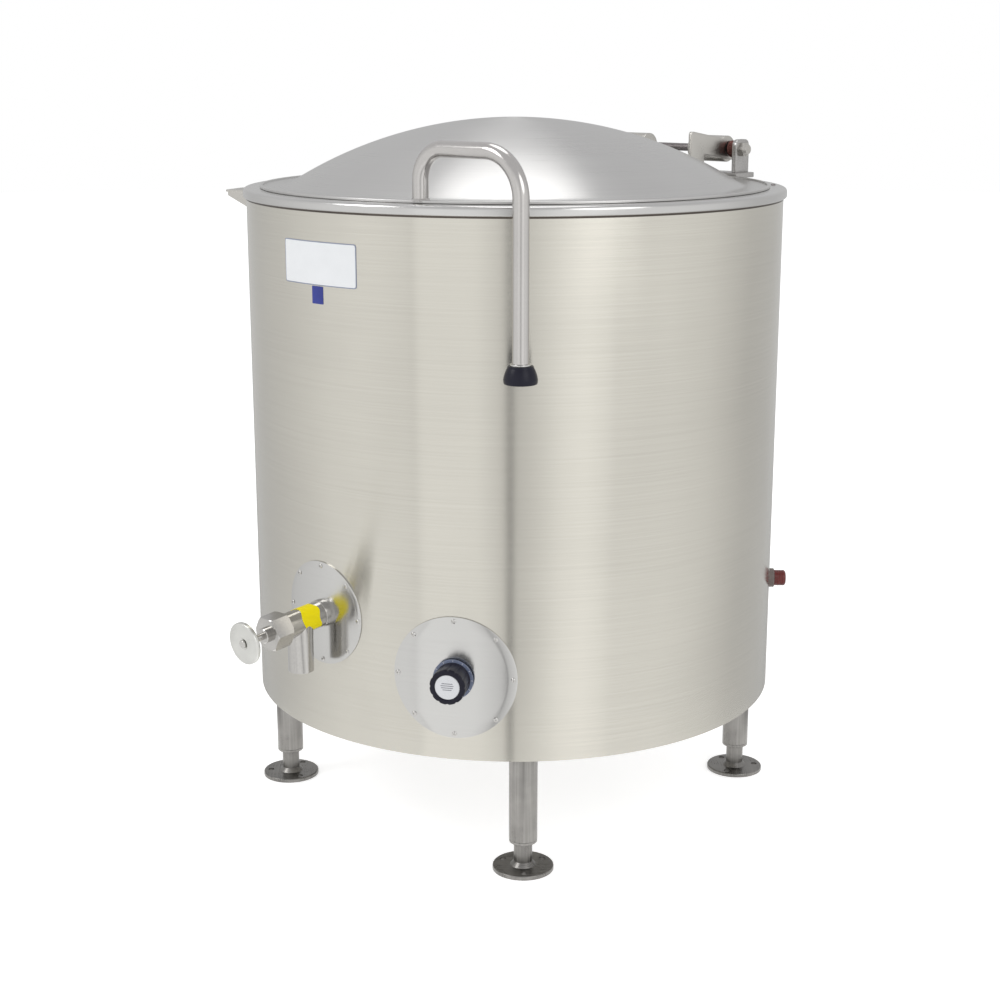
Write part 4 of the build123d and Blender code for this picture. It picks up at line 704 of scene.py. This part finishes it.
class KETTLE_OT_hinge(Operator):
    """Build the hinge bracket, arms, springs and shaft behind the lid"""

    bl_idname = "kettle.hinge"
    bl_label = "Lid hinge"

    def make_arm(self, side, lid):
        """Flat arm with a hub, its front edge turned down onto the dome."""
        sphere, centre = dome_sphere(lid)
        reach = sqrt((sphere + 0.0001) ** 2 - ARM_ASIDE**2)
        under = ARM_BOTTOM + (ARM_REAR - ARM_LEG) * (ARM_FRONT_TOP - ARM_TOP) / (ARM_REAR - ARM_FRONT)
        corners = [(ARM_REAR, ARM_BOTTOM, 0.007), (ARM_REAR, ARM_TOP, 0.007), (ARM_FRONT, ARM_FRONT_TOP, 0.007)]
        corners += [(y, centre + sqrt(reach**2 - y**2)) for y in (ARM_FRONT, 0.295, 0.307, ARM_LEG)]
        corners += [(ARM_LEG, under, 0.003)]
        place = placed((side * ARM_ASIDE - ARM_SHEET / 2, 0, 0), ACROSS, BACK)
        plate = slab("arm_plate", eased(corners, 5, True), ARM_SHEET, place, 0.0007)
        start, outside, high, ease = 0.048, 0.021, 0.066, 0.0010
        place = placed((side * start, SHAFT_BACK, SHAFT_HEIGHT), (side, 0, 0), BACK)
        hub = [(SHAFT_BORE, 0.0, ease), (outside, 0.0, ease), (outside, high, ease), (SHAFT_BORE, high, ease)]
        return [plate, turned("arm_hub", hub, place, 64, True, ease=3)]

    def make_spring(self, side, name):
        """Coil on the shaft outside an arm."""
        start, end, turns, steps, radius = side * 0.1222, side * 0.1338, 5.2, 180, 0.0125
        coil = []
        for step in range(steps + 1):
            share = step / steps
            turn = FULL_TURN * turns * share
            back, height = SHAFT_BACK + radius * cos(turn), SHAFT_HEIGHT + radius * sin(turn)
            coil.append(Vector((start + (end - start) * share, back, height)))
        spring = swept(f"lid_spring_{name}", coil, 0.00105, 12)
        settle(spring, "kettle", "spring_steel", "spring_steel", f"torsion_spring_{name}")

    def make_mount(self):
        """Plate on the rim with two posts, each with a hole for the shaft."""
        turns = [FULL_TURN * step / 48 for step in range(48)]
        hole = [(SHAFT_BORE * cos(turn), SHAFT_HEIGHT + SHAFT_BORE * sin(turn)) for turn in turns]
        post = [(-POST_HALF, POST_BOTTOM), (POST_HALF, POST_BOTTOM)]
        post += [(POST_HALF, POST_TOP, 0.012), (-POST_HALF, POST_TOP, 0.012)]
        pieces = []
        for side in (-1, 1):
            place = placed((side * POST_ASIDE - MOUNT_SHEET / 2, SHAFT_BACK, 0), ACROSS, BACK)
            pieces.append(slab("post", eased(post, 6, True), MOUNT_SHEET, place, 0.0009, [hole]))
        turns = [asin(MOUNT_HALF / MOUNT_FRONT) * (1 - 2 * step / 24) for step in range(25)]
        outline = [(-MOUNT_FRONT * sin(turn), MOUNT_FRONT * cos(turn)) for turn in turns]
        flank = sqrt(MOUNT_FRONT**2 - MOUNT_HALF**2) + 0.004
        outline += [(MOUNT_HALF, flank), (MOUNT_HALF, MOUNT_REAR, 0.008), (-MOUNT_HALF, MOUNT_REAR, 0.008)]
        outline = eased([*outline, (-MOUNT_HALF, flank)], 5, True)
        pieces.append(slab("hinge_plate", outline, MOUNT_SHEET, upright((0, 0, MOUNT_BOTTOM)), 0.0009))
        # The plate and posts take the darker copy of the hinge steel: painted shade behind the lid
        settle(joined("hinge_mount", pieces), "kettle", "hinge_steel", "mount_steel", "hinge_bracket")

    def execute(self, context):
        for side, name in ((-1, "left"), (1, "right")):
            arm = joined(f"hinge_arm_{name}", self.make_arm(side, context.scene.kettle_lid))
            settle(arm, "lid", "hinge_steel", "hinge_steel", f"lid_arm_{name}")
            self.make_spring(side, name)
        self.make_mount()
        radius, half, ease = 0.00625, 0.148, 0.0008
        section = [(0, -half), (radius, -half, ease), (radius, half, ease), (0, half)]
        rod = turned("hinge_rod", section, placed((0, SHAFT_BACK, SHAFT_HEIGHT), ACROSS, BACK), 48, ease=3)
        settle(rod, "kettle", "screw_steel", "shaft_steel", "hinge_shaft")
        return {"FINISHED"}


class KETTLE_OT_valve(Operator):
    """Build the draw-off valve's body, spout, sticker and handwheel"""

    bl_idname = "kettle.valve"
    bl_label = "Draw-off valve"

    def make_spout(self, sizes, skirt):
        """Spout whose top is cut to the body's tube."""
        radius, reach, fall = sizes.tube_radius, sizes.spout_radius, tan(sizes.tilt)
        mouth = (0, -skirt - sizes.spout_distance, sizes.spout_bottom)
        high = sizes.height - fall * sizes.spout_distance - sizes.spout_bottom - radius * 0.55
        wall, bore, depth = 0.0015, 0.0010, 0.020
        section = [(reach, 0.0, 0.0006), (reach, high - 0.0125), (reach + 0.0005, high), (reach - wall, high)]
        section += [(reach - wall, depth), (reach - bore, depth), (reach - bore, 0.0, 0.0004)]
        spout = turned("valve_spout", section, upright(mouth), 80, True, ease=4)
        for vertex in spout.data.vertices:
            x, y, z = vertex.co
            if z > high - 0.001:
                axis = sizes.height - fall * (sizes.spout_distance - y) - sizes.spout_bottom
                vertex.co.z = axis - sqrt(max(0.0, radius**2 - x**2)) + 0.0006
        return spout

    def make_sticker(self, radius, place):
        """Closed sheet with waved edges round the body."""
        verts, columns, rows = [], 48, 10
        for lift in (radius + 0.00025, radius + 0.00003):
            for row in range(rows + 1):
                share = row / rows
                for column in range(columns + 1):
                    turn = radians(-42.0 + 190.0 * column / columns)
                    wave = 0.0030 * sin(3.1 * turn + 0.4) * share
                    wave += 0.0022 * sin(4.3 * turn + 1.0) * (1 - share)
                    verts.append((lift * cos(turn), lift * sin(turn), 0.0190 + 0.0300 * share + wave))
        span, under, faces = columns + 1, (columns + 1) * (rows + 1), []
        for row in range(rows):
            for column in range(columns):
                low = row * span + column
                front = (low, low + 1, low + span + 1, low + span)
                faces += [front, tuple(index + under for index in reversed(front))]
        rim = list(range(columns)) + [columns + span * row for row in range(rows)]
        rim += [span * rows + columns - column for column in range(columns)]
        rim += [span * (rows - row) for row in range(rows)]
        faces += [(after, here, here + under, after + under) for here, after in zip(rim, rim[1:] + rim[:1])]
        settle(mesh_piece("valve_sticker", verts, faces, 60.0, place), "kettle", "valve_steel", "yellow_vinyl")

    def execute(self, context):
        sizes, skirt = context.scene.kettle_valve, context.scene.kettle_shell.skirt_radius
        fall = sizes.tilt
        place = placed((0, -skirt, sizes.height), (0, -cos(fall), -sin(fall)), ACROSS)
        radius, start, end = sizes.tube_radius, sizes.body_start, sizes.body_end
        inside, ferrule = radius - 0.0016, radius + 0.003
        body = [(radius, start, 0.0008), (radius, end - 0.0095, 0.0020), (ferrule, end - 0.0050, 0.0008)]
        body += [(ferrule, end, 0.0006), (inside, end, 0.0004), (inside, start, 0.0004)]
        tube = turned("valve_tube", body, place, 96, True, ease=4)
        whole = joined("valve_tubes", [tube, self.make_spout(sizes, skirt)])
        settle(whole, "kettle", "valve_steel", "valve_steel", "valve_body")
        near, far, low, high = radius - 0.0004, radius + 0.0012, -0.0004, start + 0.0012
        collar = [(near, low), (far, low), (far, high, 0.0006), (near, high)]
        settle(turned("valve_collar", collar, place, 96, True, ease=3), "kettle", "valve_steel", "valve_steel")
        self.make_sticker(radius, place)
        outside, front, hub, rear = sizes.wheel_radius, sizes.wheel_front, 0.0095, 0.126
        wheel = [(0.0053, rear), (hub, rear, 0.0010), (hub, front - 0.007, 0.0014), (outside, front - 0.007, 0.0022)]
        wheel += [(outside, front, 0.0022), (0.0085, front, 0.0006)]
        wheel += [(0.0072, front - 0.0008, 0.0004), (0.0026, front - 0.0008)]
        disc = turned("valve_handwheel", wheel, place, 128, True, ease=5)
        settle(disc, "handwheel", "valve_steel", "wheel_steel", "handwheel")
        return {"FINISHED"}


class KETTLE_OT_plates(Operator):
    """Build the two round cover plates with their screws"""

    bl_idname = "kettle.plates"
    bl_label = "Cover plates"

    def make_screws(self, name, azimuth, height, circle, count, skirt):
        """Domed screws with a driver socket, spaced round a cover plate and square to the skirt."""
        dome = [(0, 0.0006), (0.0012, 0.0006), (0.0012, 0.0017), (0.0021, 0.00155), (0.0030, 0.0010)]
        dome += [(0.0035, 0.0003), (0.0035, 0.0), (0.0, 0.0)]
        heads = []
        for index in range(count):
            turn = FULL_TURN * index / count
            aside = asin(circle * cos(turn) / skirt)
            place = on_wall(azimuth + aside, height + circle * sin(turn), skirt + 0.0017)
            heads.append(turned("screw", dome, place, 24, split=30.0))
        settle(joined(f"{name}_screws", heads), "kettle", "screw_steel", "screw_steel", f"{name}_plate_screws")

    def execute(self, context):
        skirt = context.scene.kettle_shell.skirt_radius
        valve, control = context.scene.kettle_valve, context.scene.kettle_control
        for name, azimuth, height, radius, bore in (
            ("valve", 0.0, valve.height, valve.plate_radius, valve.tube_radius + 0.0008),
            ("control", control.azimuth, control.height, control.plate_radius, 0.0050),
        ):
            plate = cover_plate("rolled_disc", on_wall(azimuth, height, skirt), radius, bore, skirt)
            settle(joined(f"{name}_cover", [plate]), "kettle", "plate_steel", "plate_steel", f"{name}_plate")
            self.make_screws(name, azimuth, height, radius - 0.006, valve.screw_count, skirt)
        return {"FINISHED"}


class KETTLE_OT_control(Operator):
    """Build the fluted knob, its dial skirt and its bright face"""

    bl_idname = "kettle.control"
    bl_label = "Thermostat knob"

    def make_dial(self, dial, place):
        """Dial skirt under the knob, with its marks."""
        bore, low, high, ease = 0.0034, 0.006, 0.008, 0.0008
        section = [(bore, low), (dial, low, ease), (dial, high, ease), (bore, high)]
        ring = turned("knob_dial", section, place, 128, True, ease=4)
        settle(ring, "knob", "dial_plastic", "dial_moulding", "dial_skirt")
        outline, marks = rounded_rectangle(-0.0012, -0.0003, 0.0012, 0.0003, 0.0001), []
        for index in range(11):
            turn = Matrix.Rotation(radians(-60.0 + 30.0 * index), 4, "Z")
            middle = place @ turn @ Matrix.Translation((dial - 0.0019, 0, high))
            marks.append(slab("mark", outline, 0.00012, middle, 0.00002))
        settle(joined("dial_marks", marks), "knob", "dial_plastic", "dial_marks")

    def make_face(self, front, place):
        """Bright disc let into the knob, with generic fine lines."""
        top, under = front - 0.0010, front - 0.0026
        disc = [(0.0, top), (0.0168, top, 0.0005), (0.0178, front - 0.0014, 0.0002), (0.0178, under), (0.0, under)]
        settle(turned("knob_disc", disc, place, 72, ease=3), "knob", "bright_face", "face_metal", "knob_face")
        bars = []
        for row, wide in enumerate((0.0078, 0.0092, 0.0085, 0.0064)):
            low = 0.0050 - 0.0030 * row
            line = rounded_rectangle(-wide, low, wide, low + 0.0009, 0.0003)
            bars.append(slab("line", line, 0.00010, place @ upright((0, 0, top)), 0.00002))
        settle(joined("face_lines", bars), "knob", "bright_face", "line_ink")

    def execute(self, context):
        sizes, skirt = context.scene.kettle_control, context.scene.kettle_shell.skirt_radius
        place = on_wall(sizes.azimuth, sizes.height, skirt)
        self.make_dial(sizes.dial_radius, place)
        radius, front, foot, flute_start = sizes.knob_radius, sizes.knob_front, 0.0080, 0.0125
        tip, waist, well = radius + 0.0006, radius - 0.0006, front - 0.0016

        def flute(reach, height, turn):
            if reach < 0.018 or height < flute_start or height > front - 0.0004:
                return reach
            ease = min(1.0, (height - flute_start) / 0.002)
            return reach - 0.0010 * ease * max(0.0, cos(12 * turn)) ** 2.2

        body = [(0.0, foot), (radius, foot, 0.0006), (radius, 0.0115, 0.0006), (waist, flute_start), (waist, 0.0150)]
        body += [(radius - 0.0004, 0.0230), (tip - 0.0002, 0.0320), (tip, front - 0.0030, 0.0008)]
        body += [(tip - 0.0008, front - 0.0010, 0.0006), (tip - 0.0030, front, 0.0008), (0.0188, front, 0.0004)]
        body += [(0.0182, well, 0.0002), (0.0, well)]
        knob = turned("control_knob", body, place, 288, False, 32.0, flute, 4)
        settle(knob, "knob", "black_plastic", "knob_moulding", "knob")
        self.make_face(front, place)
        return {"FINISHED"}


class KETTLE_OT_indicator(Operator):
    """Build the dark red indicator and its bezel"""

    bl_idname = "kettle.indicator"
    bl_label = "Indicator"

    def execute(self, context):
        sizes, skirt = context.scene.kettle_control, context.scene.kettle_shell.skirt_radius
        place = on_wall(sizes.lamp_azimuth, sizes.lamp_height, skirt)
        bore, neck, flange, rear, front, lens = 0.0096, 0.011, 0.015, -0.024, 0.009, 0.0125
        section = [(bore, rear), (neck, rear, 0.0005), (neck, 0.0001), (flange, 0.0001, 0.0003)]
        section += [(flange, front, 0.0016), (bore, front, 0.0004)]
        bezel = turned("indicator_bezel", section, place, 64, True, ease=4)
        settle(bezel, "kettle", "lamp_grey", "bezel_moulding", "lamp_bezel")
        dome = [(0.0, 0.0), (0.0085, 0.0), (0.0085, front), (lens, front, 0.0006)]
        for step in range(5):
            low = 0.0105 + 0.0026 * step
            dome += [(lens, low, 0.0003), (0.0121, low + 0.0007, 0.0003), (lens, low + 0.0014, 0.0003)]
        dome += [(0.0124, 0.0250, 0.0020), (0.0095, 0.0275, 0.0020), (0.0, 0.0280)]
        lens = turned("indicator_lens", dome, place, 64, ease=3)
        settle(lens, "kettle", "lamp_red", "indicator_moulding", "lamp_lens")
        return {"FINISHED"}


class KETTLE_OT_legs(Operator):
    """Build the four leg tubes and their bushes"""

    bl_idname = "kettle.legs"
    bl_label = "Legs"

    def execute(self, context):
        top, circle, outside, inside, end = context.scene.kettle_shell.skirt_bottom, 0.3665, 0.02065, 0.0190, 0.0462
        tube = [(outside, end, 0.0006), (outside, top), (inside, top), (inside, end, 0.0004)]
        bore, flange, low, rest, plug, high = 0.0136, 0.0205, 0.042, 0.046, 0.0189, 0.086
        bush = [(bore, low), (flange, low, 0.0008), (flange, rest), (plug, rest), (plug, high), (bore, high)]
        bushes = []
        for number in range(1, 5):
            place = upright(polar(radians(90.0 * number - 45.0), circle, 0.0))
            leg = turned(f"leg_{number}", tube, place, 72, True, ease=3)
            settle(leg, "kettle", "leg_steel", "leg_steel", f"leg_tube_{number}")
            bushes.append(turned("collar", bush, place, 64, True, ease=3))
        settle(joined("leg_collars", bushes), "kettle", "leg_steel", "leg_steel", "leg_bushes")
        return {"FINISHED"}


class KETTLE_OT_marks(Operator):
    """Build the bare white plate, the small tag, the rim's screw and the gussets of the faucet bracket"""

    bl_idname = "kettle.marks"
    bl_label = "Bare plate, tag and small pieces"

    def execute(self, context):
        sizes, shell = context.scene.kettle_marks, context.scene.kettle_shell
        skirt, rim_top = shell.skirt_radius, shell.rim_height
        low, high, width, turn = sizes.plate_bottom, sizes.plate_top, sizes.plate_width, sizes.plate_azimuth
        seat, inset = skirt + 0.00005, 0.0014
        edge = wrapped("plate_edge", width, low, high, seat, turn, 0.0045)
        settle(edge, "kettle", "black_plastic", "edge_vinyl")
        face = wrapped("plate_face", width - 2 * inset, low + inset, high - inset, skirt + 0.0002, turn, 0.0035)
        settle(face, "kettle", "plate_steel", "white_vinyl")
        tag = wrapped("small_tag", sizes.tag_width, sizes.tag_bottom, sizes.tag_top, seat, turn, 0.001)
        settle(tag, "kettle", "black_plastic", "blue_vinyl")
        head = [(0.0, 0.0018), (0.0022, 0.0016), (0.0034, 0.0008), (0.0036, 0.0001), (0.0, 0.0001)]
        screw_azimuth, screw_circle = radians(134.0), 0.3955
        screw = turned("rim_screw", head, upright(polar(screw_azimuth, screw_circle, rim_top)), 32)
        settle(screw, "kettle", "screw_steel", "shaft_steel")
        azimuth, half, sheet, gussets = radians(-67.5), 0.0285, 0.0034, []
        back, front, top = -0.0008, 0.0742, -0.0032
        cheek = [(back, top), (front, top), (front, -0.0085, 0.002), (back, -0.047, 0.002)]
        out, aside = polar(azimuth, 1, 0), polar(azimuth + pi / 2, 1, 0)
        for side in (-1, 1):
            corner = polar(azimuth, skirt, rim_top - 0.017) + aside * (side * half + sheet / 2)
            gussets.append(slab("gusset", eased(cheek, 4, True), sheet, placed(corner, -aside, out), 0.0003))
        settle(joined("faucet_gussets", gussets), "kettle", "hinge_steel", "hinge_steel")
        return {"FINISHED"}


# Finishes of the CAD model's own pieces that stay visible
CARRIED = {
    "jacket_steel": ["steam_jacket", "bulb_well"],
    "frame_steel": ["base_frame", "bottom_cover"],
    "screw_steel": ["cover_screws", "wheel_screw", "thermostat_nut", "thermostat_shaft"],
    "foot_steel": ["foot_1", "foot_2", "foot_3", "foot_4"],
    "bowl_steel": ["strainer"],
    "tube_steel": ["draw_off_tube"],
    "valve_steel": ["valve_plug", "bonnet", "union_nut", "valve_stem"],
    "hinge_steel": ["faucet_bracket", "hinge_nuts"],
    "rubber": ["plug_seal", "stem_packing"],
    "grey_moulding": ["thermostat_body", "contactor", "conduit_hub"],
    "element_alloy": ["heating_elements", "element_flange"],
    "brass": ["safety_pipe", "safety_valve", "safety_lever"],
    "wool": ["insulation"],
}


class KETTLE_OT_carried(Operator):
    """Give the CAD model's own pieces their finishes"""

    bl_idname = "kettle.carried"
    bl_label = "Finishes of carried pieces"

    def execute(self, context):
        for finish, names in CARRIED.items():
            for name in names:
                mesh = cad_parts[name].data
                if not mesh.materials:
                    mesh.materials.append(finish_of(finish))
                for slot in range(len(mesh.materials)):
                    mesh.materials[slot] = finish_of(finish)
        return {"FINISHED"}


CAMERA_AZIMUTH = radians(42.8)
# Brightness of the tent by the angle, in degrees, at which the skirt mirrors it; 0 faces the camera
BANDS = [
    (-90.0, 0.55), (-70.0, 0.66), (-55.0, 0.84), (-42.0, 1.02), (-22.4, 1.03), (-21.4, 0.90), (-20.4, 1.15),
    (-8.0, 1.13), (-3.3, 0.94), (-1.8, 0.87), (-1.1, 0.27), (-0.6, 0.27), (0.1, 0.85), (2.0, 0.86), (5.5, 1.00),
    (10.0, 1.19), (15.0, 1.25), (20.4, 1.12), (21.2, 1.03), (34.0, 1.04), (45.0, 0.94), (59.0, 0.70), (90.0, 0.55),
]


class KETTLE_OT_stage(Operator):
    """Build the pale floor, the soft studio light and the camera"""

    bl_idname = "kettle.stage"
    bl_label = "Studio"

    def seen(self, tree):
        """1 for a ray from the camera, a mirror or glass."""
        path = node(tree, "LightPath").outputs
        pair = maths(tree, "ADD", path["Is Camera Ray"], path["Is Glossy Ray"])
        return maths(tree, "ADD", pair, path["Is Transmission Ray"], use_clamp=True)

    def make_world(self, scene):
        world = bpy.data.worlds.new("studio")
        world.use_nodes = True
        tree = world.node_tree
        shader = tree.nodes["Background"]
        tree.links.new(ranged(tree, self.seen(tree), 0.72, 1.0, 0.0, 1.0), shader.inputs["Strength"])
        shader.inputs["Color"].default_value = WHITE
        scene.world = world

    def make_floor(self):
        floor = turned("floor", [(0.0, -0.0005), (14.0, -0.0005)])
        fixed = {"Roughness": 0.9, "Specular IOR Level": 0.1, "Emission Color": WHITE}
        paint, tree, shader, place = new_finish("pale_floor", fixed)
        mottle = ranged(tree, noise(tree, place, 6.0), 0.0, 1.0)
        tree.links.new(blended(tree, mottle, (0.80, 0.80, 0.80), (0.82, 0.82, 0.82)), shader.inputs["Base Color"])
        tree.links.new(ranged(tree, self.seen(tree), 0.0, 0.62, 0.0, 1.0), shader.inputs["Emission Strength"])
        floor.data.materials.append(paint)

    def mirror_angle(self, x, y, skirt):
        """Angle at which the skirt mirrors a point of the tent to a far camera, in degrees."""
        away = (atan2(x, -y) - CAMERA_AZIMUTH + pi) % FULL_TURN - pi
        share = min(1.0, skirt / hypot(x, y))
        low, high = 0.0, pi / 2
        for _ in range(24):
            turn = (low + high) / 2
            if 2 * turn - asin(share * sin(turn)) < abs(away):
                low = turn
            else:
                high = turn
        return copysign(degrees(low), away)

    def make_cloth(self):
        """Glowing cloth whose brightness follows the bands and turns grey at the roof."""
        cloth = bpy.data.materials.new("tent_cloth")
        cloth.use_nodes = True
        tree = cloth.node_tree
        tree.nodes.clear()
        band = node(tree, "Attribute", attribute_name="band").outputs["Fac"]
        shades = node(tree, "ValToRGB", {0: ranged(tree, band, 0.0, 1.0, -90.0, 90.0)})
        stops = shades.color_ramp.elements
        while len(stops) > 1:
            stops.remove(stops[-1])
        for index, (turn, level) in enumerate(BANDS):
            position = (turn + 90.0) / 180.0
            stop = stops.new(position) if index else stops[0]
            stop.position = position
            stop.color = (level, level, level, 1.0)
        place = node(tree, "TexCoord").outputs["Object"]
        height = node(tree, "SeparateXYZ", {0: place}).outputs[2]
        grey = (0.74, 0.74, 0.75, 1.0)
        mixed = {0: ranged(tree, height, 0.0, 1.0, 1.6, 4.6), 6: shades.outputs[0], 7: grey}
        roof = node(tree, "Mix", mixed, data_type="RGBA").outputs[2]
        light = node(tree, "Emission", {"Color": roof, "Strength": 1.0})
        node(tree, "OutputMaterial", {0: light.outputs[0]})
        return cloth

    def make_tent(self, skirt):
        """Cloth tent seen only in reflections. Its pale and grey bands stand upright in the skirt's reflection."""
        profile = [(radius, 0.0004) for radius in (0.55, 0.8, 1.1, 1.6, 2.4, 3.6, 5.2)]
        profile += [(5.8, 0.3), (6.0, 1.0), (6.0, 2.0), (6.0, 5.0), (4.5, 5.8), (2.0, 6.0), (0.05, 6.0)]
        tent = turned("light_tent", profile, around=240)
        mesh = tent.data
        bands = mesh.attributes.new("band", "FLOAT", "CORNER")
        turns = [self.mirror_angle(*vertex.co.xy, skirt) for vertex in mesh.vertices]
        for face in mesh.polygons:
            corners = [turns[index] for index in face.vertices]
            behind = max(corners) - min(corners) > 90.0
            for loop, turn in zip(face.loop_indices, corners):
                bands.data[loop].value = abs(turn) if behind else turn
        mesh.materials.append(self.make_cloth())
        for ray in ("camera", "diffuse", "shadow", "transmission", "volume_scatter"):
            setattr(tent, f"visible_{ray}", False)

    def make_lamps(self, scene):
        for name, spot, aim, size, power in (
            ("key", (-1.6, -3.2, 3.4), (0, 0, 0.6), 1.8, 34.0),
            ("fill", (3.6, -0.6, 2.6), (0, 0, 0.6), 2.2, 20.0),
            ("top", (-0.42, 0.36, 3.6), (0, 0, 0.9), 1.7, 15.0),
        ):
            light = bpy.data.lights.new(name, "AREA")
            light.shape = "DISK"
            light.size = size
            light.energy = power
            lamp = bpy.data.objects.new(name, light)
            scene.collection.objects.link(lamp)
            lamp.location = spot
            lamp.rotation_euler = (Vector(aim) - Vector(spot)).to_track_quat("-Z", "Y").to_euler()
            lamp.visible_camera = False

    def make_camera(self, scene):
        lens = bpy.data.cameras.new("camera")
        lens.lens = 63.85
        lens.sensor_width = 36.0
        lens.clip_end = 60.0
        camera = bpy.data.objects.new("camera", lens)
        scene.collection.objects.link(camera)
        turn, yaw, pitch = CAMERA_AZIMUTH, radians(-0.467), radians(13.88)
        across = Vector((cos(turn), sin(turn), 0.0))
        away = Vector((-sin(turn), cos(turn), 0.0))
        forward = (across * sin(yaw) + away * cos(yaw)) * cos(pitch) - Vector((0, 0, sin(pitch)))
        camera.location = (1.8645, -2.0135, 1.1378)
        camera.rotation_euler = forward.to_track_quat("-Z", "Y").to_euler()
        scene.camera = camera

    def execute(self, context):
        scene = context.scene
        scene.view_settings.view_transform = "Standard"
        self.make_world(scene)
        self.make_floor()
        self.make_tent(scene.kettle_shell.skirt_radius)
        self.make_lamps(scene)
        self.make_camera(scene)
        return {"FINISHED"}


OPERATORS = [
    KETTLE_OT_stage,
    KETTLE_OT_shell,
    KETTLE_OT_bowl,
    KETTLE_OT_lid,
    KETTLE_OT_handle,
    KETTLE_OT_hinge,
    KETTLE_OT_valve,
    KETTLE_OT_plates,
    KETTLE_OT_control,
    KETTLE_OT_indicator,
    KETTLE_OT_legs,
    KETTLE_OT_marks,
    KETTLE_OT_carried,
]
GROUPS = {
    "kettle_shell": KettleShellSizes,
    "kettle_lid": KettleLidSizes,
    "kettle_handle": KettleHandleSizes,
    "kettle_valve": KettleValveSizes,
    "kettle_control": KettleControlSizes,
    "kettle_marks": KettleMarkSizes,
    "kettle_finishes": KettleFinishes,
}


class KETTLE_PT_pieces(Panel):
    """Lists the pieces and their sizes"""

    bl_idname = "KETTLE_PT_pieces"
    bl_label = "Jacketed kettle"
    bl_space_type = "VIEW_3D"
    bl_region_type = "UI"
    bl_category = "Kettle"

    def draw(self, context):
        for operator in OPERATORS:
            self.layout.operator(operator.bl_idname, text=operator.bl_label)
        for name, group in GROUPS.items():
            box = self.layout.box()
            box.label(text=group.__doc__)
            for prop in group.__annotations__:
                box.prop(getattr(context.scene, name), prop)


CLASSES = [*GROUPS.values(), *OPERATORS, KETTLE_PT_pieces]


def register():
    for kind in CLASSES:
        bpy.utils.register_class(kind)
    for name, group in GROUPS.items():
        setattr(bpy.types.Scene, name, PointerProperty(type=group))


def unregister():
    for name in GROUPS:
        delattr(bpy.types.Scene, name)
    for kind in reversed(CLASSES):
        bpy.utils.unregister_class(kind)


def main():
    register()
    for operator in OPERATORS:
        getattr(bpy.ops.kettle, operator.bl_idname.split(".")[1])()


if __name__ == "__main__":
    main()
